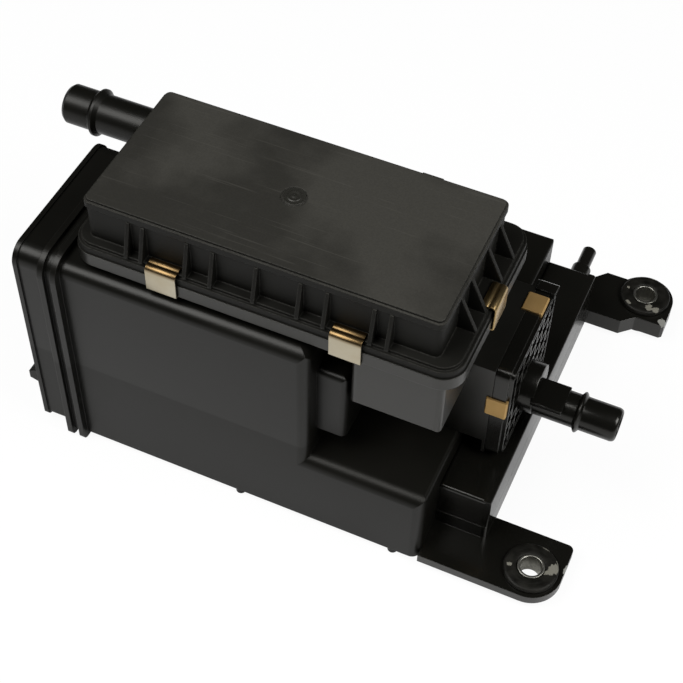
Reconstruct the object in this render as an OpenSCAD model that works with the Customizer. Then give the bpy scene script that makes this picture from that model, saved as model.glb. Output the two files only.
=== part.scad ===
// Charcoal canister of a vehicle fuel system, with its vent-air filter box.
// Frame: millimetres, +Z up, z = 0 is the plane the part stands on.
// +X runs from the welded end cap to the bolt ears, -Y is the face with two lid clips.
// The origin is midway between the two bolt holes, on the standing plane.

/* [Case] */
// Length of the low case along X, weld plane to right end
case_length = 185.5; // [172:0.5:198]
// Depth of the case along Y
case_depth = 184; // [165:0.5:205]
// Length of the tall front chamber along X
tower_length = 127; // [118:0.5:134]
// Depth of the tall front chamber along Y
tower_depth = 83; // [76:0.5:90]
// Height of the tall front chamber
tower_height = 122.5; // [112:0.5:132]
// Height of the low deck
deck_height = 46.8; // [42:0.2:52]
// Wall thickness of the case mouldings
case_wall = 3; // [2.4:0.1:3.6]
// Radius of the upper edges of the case
top_radius = 6; // [3:0.5:8]
// Radius of the upright edges at the front of the case
upright_radius = 5; // [3:0.5:7]
// Radius of the back edges of the low deck
back_radius = 2; // [1:0.5:4]

/* [Weld flange] */
// How far the two weld beads stand out from the case, down to the standing plane
bead_proud = 3.7; // [2.5:0.1:4]
// Width of one weld bead along X
bead_width = 2.9; // [2:0.1:3.4]
// Width of each half of the groove between the beads
bead_gap = 1.9; // [1.4:0.1:2.6]
// How far the floor of the groove stands out
groove_proud = 1.6; // [1:0.1:2.2]
// Corner radius of the weld beads
bead_radius = 11; // [7:0.5:14]
// Radius of the lower corners of the beads and the cap
foot_radius = 3.5; // [2:0.5:6]

/* [End cap] */
// Length of the cap beyond its weld bead
cap_length = 15.4; // [13:0.2:20]
// How far the cap lies inside the case outline
cap_inset = 0.8; // [0.4:0.1:1.6]
// Corner radius of the cap
cap_radius = 9; // [6:0.5:12]
// Width of the raised rim round the outer end
rim_width = 2.4; // [1.6:0.1:3.4]
// How far the rim stands out from the cap
rim_proud = 0.8; // [0.4:0.1:1.4]
// Depth of the hollow in the outer face of the cap
cap_dish = 2.4; // [1.5:0.1:3.5]
// Height of the locating tab above the case floor
tab_height = 22.4; // [18:0.2:32]
// Length of the locating tab beyond the rim
tab_length = 6; // [4:0.5:8]

/* [Tank port] */
// Outside diameter of the tank pipe
tank_pipe_d = 20.4; // [18:0.2:23]
// Bore of the tank pipe
tank_bore_d = 15.6; // [13:0.2:17]
// Diameter of the hose bead on the tank pipe
tank_bead_d = 24.4; // [22:0.2:27]
// Distance of the pipe end from the weld plane
tank_reach = 55; // [48:0.5:62]
// Distance of the hose bead from the pipe end
tank_bead_back = 17.5; // [14:0.5:22]
// Height of the pipe axis above the standing plane
tank_axis_z = 112.8; // [104:0.2:116]
// Distance of the pipe axis behind the tall chamber
tank_axis_back = 26.7; // [22:0.2:32]
// Depth of the liquid trap box along Y
trap_depth = 27; // [25:0.5:34]
// Height of the low tail of the trap above the deck
tail_height = 18; // [15:0.5:24]
// Height left between the trap box and the tall chamber's top
trap_drop = 1.4; // [0.8:0.2:3]

/* [Mounts] */
// Distance between the two bolt holes
bolt_pitch = 183; // [174:0.5:192]
// Distance of the bolt holes from the right end of the case
bolt_reach = 51.5; // [47:0.5:56]
// Distance of the front bolt hole behind the case front
bolt_inset = 14.5; // [13:0.5:17]
// Outside diameter of the steel sleeves
sleeve_d = 13.2; // [12:0.1:15]
// Bore of the steel sleeves
sleeve_bore_d = 10.4; // [8.4:0.1:10.8]
// Diameter of the rubber bush lips
bush_lip_d = 26.6; // [24:0.2:29]
// Diameter of the holes in the ears
ear_hole_d = 20; // [18:0.2:22]
// Thickness of the upper lip of the bushes
bush_lip = 2.6; // [1.8:0.1:3.2]
// How far the sleeves stand above the bushes
sleeve_proud = 0.7; // [0.2:0.1:1.2]
// Radius of the ears round the bolt holes
ear_radius = 15.3; // [14.5:0.1:17]
// Thickness of the front ear
front_ear_t = 5; // [4:0.1:6.5]
// Thickness of the rear ear
rear_ear_t = 9.9; // [8:0.1:11]

/* [Manifold] */
// Width of the manifold block along X
block_width = 24.8; // [22:0.2:28]
// Distance of the block's front face behind the case front
block_setback = 22; // [19:0.5:25]
// Distance of the block's back face in front of the case back
block_short = 4.6; // [3:0.2:7]
// Height of the block above the case floor
block_height = 34; // [30:0.5:37]
// Height of the seam between base and block above the case floor
seam_height = 13.8; // [12:0.2:16]
// How far the base stands out beyond the block at the seam
seam_step = 1.2; // [0.6:0.1:2]
// Outside diameter of the purge nipple
purge_d = 7.4; // [6.6:0.1:8.4]
// Bore of the purge nipple
purge_bore_d = 4.4; // [3.6:0.1:5]
// Length of the purge nipple beyond its shoulder
purge_length = 14; // [11:0.5:18]
// Length of the boss that carries the purge nipple
purge_boss_l = 10; // [7:0.5:13]

/* [Filter box] */
// Length of the tub flange along X
tub_length = 184; // [170:0.5:190]
// Depth of the tub flange along Y
tub_depth = 94.5; // [88:0.5:100]
// Distance of the flange front behind the case front
tub_setback = 4.8; // [3.5:0.1:6.5]
// Distance of the flange's left end from the weld plane
tub_inset = 9; // [7:0.5:12]
// Corner radius of the flange
tub_radius = 11; // [8:0.5:14]
// Depth of the shallow pan below the flange
pan_depth = 4; // [3:0.1:5]
// Thickness of the tub flange
tub_flange_t = 6.8; // [5.5:0.1:8]
// Thickness of the lid flange
lid_flange_t = 5.3; // [4:0.1:6.5]
// Height of the lid dome above its flange
lid_height = 22.6; // [19:0.2:27]
// Flange margin in front of the dome and behind it
lid_margin_y = 6.6; // [5:0.1:8]
// Flange margin at the left of the dome
lid_margin_left = 7.2; // [5.5:0.1:9]
// Flange margin at the right of the dome
lid_margin_right = 11; // [9:0.2:13]
// Extra flange margin behind the dome
lid_margin_extra = 5; // [3:0.2:7]
// Wall thickness of the lid and the tub
lid_wall = 2.2; // [1.8:0.1:2.8]
// Height of the lip round the top of the lid
lip_height = 4.6; // [3:0.1:6]
// How far the lip stands out from the lid wall
lip_proud = 0.8; // [0.4:0.1:1.4]
// Thickness of the gusset ribs on the lid
rib_t = 1.8; // [1.2:0.1:2.6]
// Length of the deep part of the tub along X
deep_length = 43; // [38:0.5:48]
// Depth of the deep part below the flange
deep_drop = 36.6; // [32:0.2:40]
// Inset of the deep part from the flange edge
deep_inset = 5; // [4:0.1:6.5]

/* [Clips] */
// Sheet thickness of the spring clips
clip_t = 1; // [0.7:0.05:1.3]
// Width of the lid clips
clip_width = 16.2; // [14:0.2:18]
// Length of the lid clips' upper leg
clip_leg = 6; // [4.5:0.1:6.4]
// Length of the lid clips' lower leg
clip_foot = 3.4; // [2.4:0.1:4.5]
// Width of the vent cover clips
cover_clip_width = 11; // [9:0.2:13]

/* [Vent cover] */
// Width of the vent cover along Y
cover_width = 62; // [57:0.5:66]
// Height of the vent cover
cover_height = 64; // [58:0.5:68]
// Thickness of the cover flange
cover_flange_t = 6.8; // [5.5:0.1:8]
// Height of the grid ribs above the cover face
grid_proud = 3.2; // [2:0.1:4.2]
// Thickness of the grid ribs
grid_rib_t = 1.1; // [0.8:0.1:1.6]
// Pitch of the grid ribs
grid_pitch = 8.8; // [7:0.2:11]
// Outside diameter of the vent pipe
vent_pipe_d = 16.6; // [15:0.2:18.4]
// Bore of the vent pipe
vent_bore_d = 12.6; // [11:0.2:13.8]
// Diameter of the hose bead on the vent pipe
vent_bead_d = 20; // [18.6:0.2:22]
// Length of the vent pipe beyond the cover face
vent_reach = 49; // [42:0.5:56]
// Height of the vent pipe axis above the bottom of the cover
vent_axis_up = 23; // [20:0.2:26]
// Distance of the vent pipe axis in front of the cover's middle
vent_axis_front = 4.6; // [2:0.2:7]

/* [Inside] */
// Thickness of the fleece screens
screen_t = 4; // [3:0.2:6]
// Thickness of the pressure plates
plate_t = 3; // [2.4:0.1:4]
// Wire diameter of the springs
spring_wire = 1.4; // [1:0.1:1.8]
// Mean diameter of the springs
spring_d = 14; // [11:0.5:17]
// Space kept free at the right end of each bed
plenum = 16; // [12:0.5:20]
// Play of the parts that slide inside the case
slide_play = 0.4; // [0.2:0.05:0.8]
// Height of the filter panel
panel_height = 21; // [16:0.5:24]
// Number of folds in the filter paper
fold_count = 24; // [14:1:32]

/* [Hidden] */

// Name of the one piece to draw, or all of them

$fn = 64;
eps = 0.01;
// Case planes
right_x = -bolt_reach;
weld_x = right_x - case_length;
front_y = -bolt_pitch/2 - bolt_inset;
back_y = front_y + case_depth;
floor_z = bead_proud;
step_x = weld_x + tower_length;
tower_back_y = front_y + tower_depth;
tower_top_z = floor_z + tower_height;
deck_top_z = floor_z + deck_height;
// Inside faces of the case
in_floor_z = floor_z + case_wall;
tower_in_y0 = front_y + case_wall;
tower_in_y1 = tower_back_y - case_wall;
tower_in_z1 = tower_top_z - case_wall;
tower_in_x1 = step_x - case_wall;
rear_in_y0 = tower_back_y;
rear_in_y1 = back_y - case_wall;
rear_in_z1 = deck_top_z - case_wall;
rear_in_x1 = right_x - case_wall;
// Weld flange and cap
cap_weld_x = weld_x - bead_gap - bead_width;
cap_end_x = cap_weld_x - cap_length;
cap_in_x = cap_end_x + cap_dish + case_wall;
// Tank port
tank_y = tower_back_y + tank_axis_back;
tank_end_x = weld_x - tank_reach;
trap_x0 = weld_x + 11;
trap_y0 = tank_y - trap_depth/2;
trap_y1 = tank_y + trap_depth/2;
trap_top_z = tower_top_z - trap_drop;
// Mounts
bolt_x = 0;
front_bolt_y = -bolt_pitch/2;
rear_bolt_y = bolt_pitch/2;
front_ear_z = floor_z + front_ear_t;
rear_ear_z = floor_z + rear_ear_t;
// Manifold
block_x1 = right_x + block_width;
base_x1 = block_x1 + seam_step;
block_y0 = front_y + block_setback;
block_y1 = back_y - block_short;
block_top_z = floor_z + block_height;
seam_z = floor_z + seam_height;
base_back_y = block_y1 + 0.6;
purge_x = right_x + 16;
purge_z = seam_z + 11;
purge_shoulder_y = block_y1 + purge_boss_l;
// Filter box
tub_x0 = weld_x + tub_inset;
tub_x1 = tub_x0 + tub_length;
tub_y0 = front_y + tub_setback;
tub_y1 = tub_y0 + tub_depth;
pan_z = tower_top_z;
tub_flange_z0 = pan_z + pan_depth;
split_z = tub_flange_z0 + tub_flange_t;
lid_flange_z1 = split_z + lid_flange_t;
lid_top_z = lid_flange_z1 + lid_height;
dome_x0 = tub_x0 + lid_margin_left;
dome_x1 = tub_x1 - lid_margin_right;
dome_y0 = tub_y0 + lid_margin_y;
dome_y1 = tub_y1 - lid_margin_y - lid_margin_extra;
pan_inset = 6;
deep_x1 = tub_x1 - deep_inset - 2;
deep_x0 = deep_x1 - deep_length;
deep_y0 = tub_y0 + deep_inset;
deep_y1 = tub_y1 - deep_inset;
deep_z = tub_flange_z0 - deep_drop;
// Vent duct under the tub
cover_y0 = front_y + 45.5;
cover_y1 = cover_y0 + cover_width;
cover_z0 = block_top_z + 1.2;
cover_z1 = cover_z0 + cover_height;
cover_x0 = right_x + 12.6;
cover_face_x = cover_x0 + cover_flange_t;
duct_x0 = step_x + 5.4;
duct_y0 = cover_y0;
duct_y1 = cover_y1 - 6.5;
duct_z1 = cover_z1;
vent_y = (cover_y0 + cover_y1)/2 - vent_axis_front;
vent_z = cover_z0 + vent_axis_up;
vent_end_x = cover_face_x + vent_reach;
boss_face_x = cover_face_x + 8;
cover_cut = 12;
back_cut = 1.8;
collar_t = 1.4;
catch = 1.4;
top_clip_y = cover_y1 - 16.9;
side_clip_z = cover_z0 + 39.5;
clip_back_x = cover_x0 - collar_t;
// Tail of the liquid trap beside the vent duct
trap_x1 = duct_x0 - 2;
tail_x1 = rear_in_x1;
tail_y0 = duct_y1 + 1.4;
tail_top_z = deck_top_z + tail_height;
plenum_x = rear_in_x1 - plenum/2;
// Clip positions
front_clip_x = [tub_x0 + 46.5, tub_x0 + 133];
rear_clip_x = tub_x0 + 134.5;
side_clip_y = tub_y0 + 48;
// Gusset rib positions along the front, measured from the flange's left end
front_rib_x = [28.7, 35.9, 57.1, 69.3, 89.7, 110.2, 122.4, 143.6, 151.3];
side_rib_y = [26.5, 38.4, 57.6, 72.5];
// Filter panel: its frame lies on the pan floor, left of the deep part
pan_floor_z = pan_z + lid_wall;
panel_x0 = dome_x0 + lid_wall + slide_play;
panel_x1 = deep_x0 - 3;
panel_y0 = dome_y0 + lid_wall + slide_play;
panel_y1 = dome_y1 - lid_wall - slide_play;
panel_z0 = pan_floor_z + 5;
panel_z1 = panel_z0 + panel_height;
frame_w = 7;
// Outlet from the pan into the tall chamber
outlet_x = step_x - 12;
outlet_y = front_y + 34;
outlet_d = 13;
outlet_seal_d = 17;
// Screws that hold the pan on the tall chamber
screw_x = [tub_x0 + 20, tub_x0 + 54, tub_x0 + 88];
screw_y = [front_y + 26, tower_back_y - 13];
screw_d = 4;
screw_head_d = 8;
screw_l = 13;
screw_boss_d = 9;
screw_boss_l = 9;
// Gate mark on the lid
gate_x = (tub_x0 + tub_x1)/2 - 3.5;
gate_y = (dome_y0 + dome_y1)/2 + 0.8;
gate_d = 12;
// Beds of charcoal
bed_x0 = weld_x + plate_t + screen_t;
front_bed_x1 = tower_in_x1 - plenum - screen_t;
rear_bed_x1 = rear_in_x1 - plenum - screen_t;

// A rectangle with rounded corners about the origin.
module round_rect(w, h, r) {
    if (r <= 0) square([w, h], center = true);
    else union() {
        square([w - 2*r, h], center = true);
        square([w, h - 2*r], center = true);
        for (sx = [-1, 1], sy = [-1, 1])
            translate([sx*(w/2 - r), sy*(h/2 - r)]) circle(r);
    }
}

// A rounded rectangle between two corners.
module span(a0, a1, b0, b1, r = 0)
    translate([(a0 + a1)/2, (b0 + b1)/2]) round_rect(a1 - a0, b1 - b0, r);

// Prisms along the three axes; the sketch lies in XY, XZ and YZ.
module z_prism(z0, z1) translate([0, 0, z0]) linear_extrude(z1 - z0) children();
module y_prism(y0, y1) translate([0, y1, 0]) rotate([90, 0, 0]) linear_extrude(y1 - y0) children();
module x_prism(x0, x1) translate([x0, 0, 0]) rotate([90, 0, 90]) linear_extrude(x1 - x0) children();

// A plain box between two corners.
module box(x0, x1, y0, y1, z0, z1)
    translate([x0, y0, z0]) cube([x1 - x0, y1 - y0, z1 - z0]);

// A round bar along X or Y.
module x_bar(x0, x1, y, z, d) translate([x0, y, z]) rotate([0, 90, 0]) cylinder(d = d, h = x1 - x0);
module y_bar(y0, y1, x, z, d) translate([x, y1, z]) rotate([90, 0, 0]) cylinder(d = d, h = y1 - y0);
module z_bar(z0, z1, x, y, d) translate([x, y, z0]) cylinder(d = d, h = z1 - z0);

// A hose bead: a ring with sloped flanks, along X.
module x_bead(x, y, z, d, bead_d, w)
    translate([x, y, z]) rotate([0, 90, 0]) rotate_extrude()
        polygon([[0, -w], [d/2, -w], [bead_d/2, -w*0.25], [bead_d/2, w*0.25], [d/2, w], [0, w]]);

// A block with its upper edges and two upright edges rounded.
module soft_block(x0, x1, y0, y1, z0, z1, top_r, side_r, open_left = 0) {
    intersection() {
        z_prism(z0, z1) span(x0 - open_left, x1, y0, y1, side_r);
        x_prism(x0, x1) span(y0, y1, z0 - 2*top_r, z1, top_r);
        y_prism(y0, y1) span(x0 - open_left, x1, z0 - 2*top_r, z1, top_r);
    }
}

// Outline of the case across X (sketch in YZ): tall front, low back.
module case_section(grow, r) {
    for (s = [[tower_back_y, tower_top_z], [back_y, deck_top_z]]) intersection() {
        span(front_y - grow, s[0] + grow, -60, s[1] + grow, r);
        span(front_y - grow, s[0] + grow, floor_z - grow, s[1] + 60, foot_radius);
    }
}

// The low part of the case: soft front edges, crisp back and right edges.
module low_deck() {
    intersection() {
        z_prism(floor_z, deck_top_z) intersection() {
            span(weld_x - 20, right_x, front_y, back_y + 20, upright_radius);
            span(weld_x - 20, right_x, front_y - 20, back_y, back_radius);
        }
        x_prism(weld_x, right_x) intersection() {
            span(front_y, back_y + 20, floor_z - 20, deck_top_z, top_radius);
            span(front_y - 20, back_y, floor_z - 20, deck_top_z, back_radius);
        }
        y_prism(front_y, back_y) span(weld_x - 20, right_x, floor_z - 20, deck_top_z, back_radius);
    }
}

// The case: tall chamber, low deck, weld bead, liquid trap and tank pipe.
module canister_case() {
    color("#17181a") difference() {
        union() {
            soft_block(weld_x, step_x, front_y, tower_back_y, floor_z, tower_top_z,
                       top_radius, upright_radius, 20);
            low_deck();
            x_prism(weld_x, weld_x + bead_gap + eps) case_section(groove_proud, bead_radius - bead_proud + groove_proud);
            x_prism(weld_x + bead_gap, weld_x + bead_gap + bead_width) case_section(bead_proud, bead_radius);
            // Buttress beside the step of the tall chamber
            soft_block(step_x - 2, step_x + 14.6, front_y + 10.2, front_y + 34, deck_top_z + 14,
                       deck_top_z + 56, 3, 3);
            // Liquid trap box behind the tall chamber and its tank pipe
            soft_block(trap_x0, trap_x1, trap_y0, trap_y1, deck_top_z - 1, trap_top_z, 3, 4);
            soft_block(trap_x1 - 8, tail_x1, tail_y0, trap_y1, deck_top_z - 1, tail_top_z, 2, 3);
            x_bar(tank_end_x + 1.6, trap_x0 + 6, tank_y, tank_axis_z, tank_pipe_d);
            translate([tank_end_x, tank_y, tank_axis_z]) rotate([0, 90, 0])
                cylinder(d1 = tank_pipe_d - 2.4, d2 = tank_pipe_d, h = 1.6);
            x_bead(tank_end_x + tank_bead_back, tank_y, tank_axis_z, tank_pipe_d, tank_bead_d, 2.6);
            // Feet under the case
            for (x = [weld_x + 90, right_x - 14], y = [front_y + 3, back_y - 3])
                z_bar(0, floor_z + 2, x, y, 5);
        }
        // Tall chamber, open at the weld plane
        box(weld_x - 1, tower_in_x1, tower_in_y0, tower_in_y1, in_floor_z, tower_in_z1);
        // Low rear chamber, open at the weld plane
        box(weld_x - 1, rear_in_x1, rear_in_y0, rear_in_y1, in_floor_z, rear_in_z1);
        // Low front chamber beside the tall one
        box(step_x, rear_in_x1, tower_in_y0, tower_in_y1, in_floor_z, rear_in_z1);
        // Passage between the low chambers
        box(rear_in_x1 - plenum + 1, rear_in_x1 - 1, tower_in_y1 - 1, rear_in_y0 + 1, in_floor_z + 6, rear_in_z1 - 6);
        // Purge passage into the manifold
        x_bar(rear_in_x1 - 1, right_x + 1, back_y - 26, floor_z + 20, 14);
        // Inside of the liquid trap, the tank bore and the way down into the rear chamber
        box(trap_x0 + case_wall, trap_x1 - case_wall, trap_y0 + case_wall, trap_y1 - case_wall,
            deck_top_z + 2, trap_top_z - case_wall);
        x_bar(tank_end_x - 1, trap_x0 + 8, tank_y, tank_axis_z, tank_bore_d);
        box(trap_x1 - case_wall - 1, tail_x1 - case_wall, tail_y0 + case_wall, trap_y1 - case_wall,
            deck_top_z + 2, tail_top_z - case_wall);
        z_bar(rear_in_z1 - 1, deck_top_z + 3, plenum_x, (tail_y0 + trap_y1)/2, 11);
        // Outlet hole with its seal seat, and pilot holes of the pan screws
        z_bar(tower_in_z1 - 1, tower_top_z + 1, outlet_x, outlet_y, outlet_seal_d);
        for (x = screw_x, y = screw_y) z_bar(tower_top_z - screw_l + lid_wall, tower_top_z + 1, x, y, screw_d);
    }
    color("#17181a") for (x = screw_x, y = screw_y) difference() {
        z_bar(tower_in_z1 - screw_boss_l, tower_top_z - 1, x, y, screw_boss_d);
        z_bar(tower_top_z - screw_l + lid_wall, tower_top_z, x, y, screw_d);
    }
}

// The welded cap at the left end, with its rim, bead and locating tab.
module end_cap() {
    color("#191a1c") difference() {
        union() {
            x_prism(cap_end_x, weld_x) case_section(-cap_inset, cap_radius - cap_inset);
            x_prism(cap_end_x, cap_end_x + rim_width) case_section(rim_proud - cap_inset, cap_radius);
            x_prism(cap_weld_x, cap_weld_x + bead_width + eps) case_section(bead_proud, bead_radius);
            x_prism(cap_weld_x + bead_width, weld_x) case_section(groove_proud, bead_radius - bead_proud + groove_proud);
            // Locating tab near the front of the outer face
            y_prism(front_y + 2, front_y + 12)
                polygon([[cap_end_x + 4, floor_z + tab_height], [cap_end_x - tab_length, floor_z + tab_height + 3],
                         [cap_end_x - tab_length, floor_z + tab_height + 8], [cap_end_x + 4, floor_z + tab_height + 13]]);
        }
        // Dished outer face inside the rim
        difference() {
            x_prism(cap_end_x - 1, cap_end_x + cap_dish) case_section(-cap_inset - rim_width, cap_radius - cap_inset - rim_width);
            box(cap_end_x - 2, cap_end_x + 5, front_y + 1, front_y + 13, floor_z + tab_height - 4, floor_z + tab_height + 17);
        }
        // Hollow that joins the two beds
        x_prism(cap_in_x, weld_x + 1) {
            span(tower_in_y0, tower_in_y1, in_floor_z, tower_in_z1, 3);
            span(tower_in_y0, rear_in_y1, in_floor_z, rear_in_z1, 3);
        }
    }
}

// The ears in plan: a round end about the bolt hole and a straight root.
module front_ear_plan() {
    ear_back_y = block_y0 + 13;
    difference() {
        union() {
            span(right_x, bolt_x, front_bolt_y - ear_radius, ear_back_y);
            span(bolt_x - 12, bolt_x + ear_radius, front_bolt_y - 4, ear_back_y, 3);
            translate([bolt_x, front_bolt_y]) circle(ear_radius);
        }
        translate([bolt_x, front_bolt_y]) circle(d = ear_hole_d);
    }
}

module rear_ear_plan() {
    root_x = right_x + 8;
    jog_y = rear_bolt_y - ear_radius - 6.2;
    difference() {
        union() {
            polygon([[root_x, jog_y], [bolt_x - 7, jog_y], [bolt_x - 0.5, rear_bolt_y - ear_radius],
                     [bolt_x + ear_radius - 1.4, rear_bolt_y - ear_radius], [bolt_x + ear_radius, rear_bolt_y - ear_radius + 1.4],
                     [bolt_x + ear_radius, rear_bolt_y], [bolt_x - 12, rear_bolt_y + 9.2],
                     [block_x1 + 3, rear_bolt_y + 9.2], [root_x, block_y1 + 6]]);
            translate([bolt_x, rear_bolt_y]) circle(ear_radius);
        }
        translate([bolt_x, rear_bolt_y]) circle(d = ear_hole_d);
    }
}

// The base of the manifold with both bolt ears.
module mount_base() {
    color("#1a1b1d") difference() {
        union() {
            intersection() {
                z_prism(floor_z, seam_z) span(right_x, base_x1, block_y0 - 0.6, base_back_y, 2.5);
                box(right_x, base_x1, block_y0 - 1, base_back_y, floor_z, seam_z);
            }
            box(right_x, right_x + 6, block_y0 - 0.6, base_back_y, floor_z, seam_z);
            z_prism(floor_z, front_ear_z) front_ear_plan();
            z_prism(floor_z, rear_ear_z) rear_ear_plan();
        }
        // Hollow of the manifold, open at the seam
        box(right_x + case_wall, block_x1 - case_wall, block_y0 + case_wall, block_y1 - case_wall, floor_z + case_wall, seam_z + 1);
    }
}

// The upper half of the manifold with the purge nipple.
module manifold_block() {
    color("#18191b") difference() {
        union() {
            soft_block(right_x, block_x1, block_y0, block_y1, seam_z, block_top_z, 1.6, 2.2);
            box(right_x, right_x + 6, block_y0, block_y1, seam_z, block_top_z - 1.6);
            y_bar(block_y1 - 2, purge_shoulder_y, purge_x, purge_z, purge_d + 2.8);
            y_bar(block_y1 - 2, purge_shoulder_y + purge_length, purge_x, purge_z, purge_d);
        }
        // Hollow, open at the seam, and the passage from the case
        box(right_x + case_wall, block_x1 - case_wall, block_y0 + case_wall, block_y1 - case_wall,
            seam_z - 1, block_top_z - case_wall);
        x_bar(right_x - 1, right_x + case_wall + 1, back_y - 26, floor_z + 20, 14);
        y_bar(block_y1 - case_wall - 1, purge_shoulder_y + purge_length + 1, purge_x, purge_z, purge_bore_d);
    }
}

// A rubber bush: a waist through the ear between two lips, bored for its sleeve.
module bush(y, ear_z) {
    color("#232325") translate([bolt_x, y, 0]) difference() {
        union() {
            z_bar(0.4, floor_z, 0, 0, bush_lip_d);
            z_bar(floor_z, ear_z, 0, 0, ear_hole_d);
            z_bar(ear_z, ear_z + bush_lip - 0.9, 0, 0, bush_lip_d);
            translate([0, 0, ear_z + bush_lip - 0.9])
                cylinder(d1 = bush_lip_d, d2 = bush_lip_d - 1.8, h = 0.9);
        }
        z_bar(-1, ear_z + bush_lip + 1, 0, 0, sleeve_d);
    }
}

module front_bush() bush(front_bolt_y, front_ear_z);
module rear_bush() bush(rear_bolt_y, rear_ear_z);

// A steel spacer sleeve for the bolt.
module sleeve(y, ear_z) {
    color("#b9b8b2") translate([bolt_x, y, 0]) difference() {
        z_bar(0, ear_z + bush_lip + sleeve_proud, 0, 0, sleeve_d);
        z_bar(-1, ear_z + bush_lip + sleeve_proud + 1, 0, 0, sleeve_bore_d);
    }
}

module front_sleeve() sleeve(front_bolt_y, front_ear_z);
module rear_sleeve() sleeve(rear_bolt_y, rear_ear_z);

// Outline of the tub flange in plan, drawn in by an inset.
module flange_plan(inset)
    span(tub_x0 + inset, tub_x1 - inset, tub_y0 + inset, tub_y1 - inset, max(tub_radius - inset, 1));

// The filter tub: flange, shallow pan, deep part and the duct to the vent cover.
module filter_tub() {
    color("#1c1d1e") difference() {
        union() {
            z_prism(tub_flange_z0, split_z) flange_plan(0);
            z_prism(pan_z, tub_flange_z0 + 1) flange_plan(pan_inset);
            soft_block_down(deep_x0, deep_x1, deep_y0, deep_y1, deep_z, tub_flange_z0 + 1, 3);
            box(duct_x0, cover_x0, duct_y0, duct_y1, deck_top_z, duct_z1);
            // Collar that the vent cover sits against
            x_prism(clip_back_x, cover_x0) cover_plan(0);
        }
        // Inside of the flange and the pan
        z_prism(pan_floor_z, split_z + 1) flange_plan(pan_inset + lid_wall);
        // Inside of the deep part
        z_prism(deep_z + lid_wall, split_z) span(deep_x0 + lid_wall, deep_x1 - lid_wall,
            deep_y0 + pan_inset - deep_inset + lid_wall, deep_y1 - lid_wall - 1.5, 2);
        // Inside of the duct, open towards the vent cover
        box(duct_x0 + lid_wall, cover_x0 + 1, duct_y0 + lid_wall, duct_y1 - lid_wall, deck_top_z + lid_wall, duct_z1 - lid_wall);
        // Groove for the lid seal
        z_prism(split_z - 2, split_z + 1) difference() { flange_plan(2.4); flange_plan(4.6); }
        // Pockets for the cover clips behind the collar
        cover_clip_seats(clip_back_x - clip_t - 0.2, clip_back_x);
        // Outlet into the tall chamber and screw holes
        z_bar(pan_z - 1, pan_floor_z + 1, outlet_x, outlet_y, outlet_d);
        for (x = screw_x, y = screw_y) z_bar(pan_z - 1, pan_floor_z + 1, x, y, screw_d + 0.6);
    }
    // Wall in the pan that carries the filter frame
    color("#1c1d1e") z_prism(pan_floor_z - eps, panel_z0) difference() {
        span(panel_x0 + 1, panel_x1 - 1, panel_y0 + 1, panel_y1 - 1, 2);
        span(panel_x0 + 3, panel_x1 - 3, panel_y0 + 3, panel_y1 - 3, 1);
    }
}

// A block with rounded lower corners and upright edges, for the deep part of the tub.
module soft_block_down(x0, x1, y0, y1, z0, z1, r) {
    intersection() {
        z_prism(z0, z1) span(x0, x1, y0, y1, r);
        x_prism(x0, x1) span(y0, y1, z0, z1 + 3*r, r/2);
    }
}

// The ring seal in the tub flange.
module lid_seal() {
    color("#101011") z_prism(split_z - 2, split_z) difference() { flange_plan(2.4); flange_plan(4.6); }
}

// A gusset rib in the plane across the lid wall; u runs outwards from the wall.
module gusset_plan(foot)
    polygon([[-1, 0], [foot, 0], [foot, 0.8], [1.0, lid_height - lip_height - 0.6], [-1, lid_height - lip_height - 0.6]]);

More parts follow.
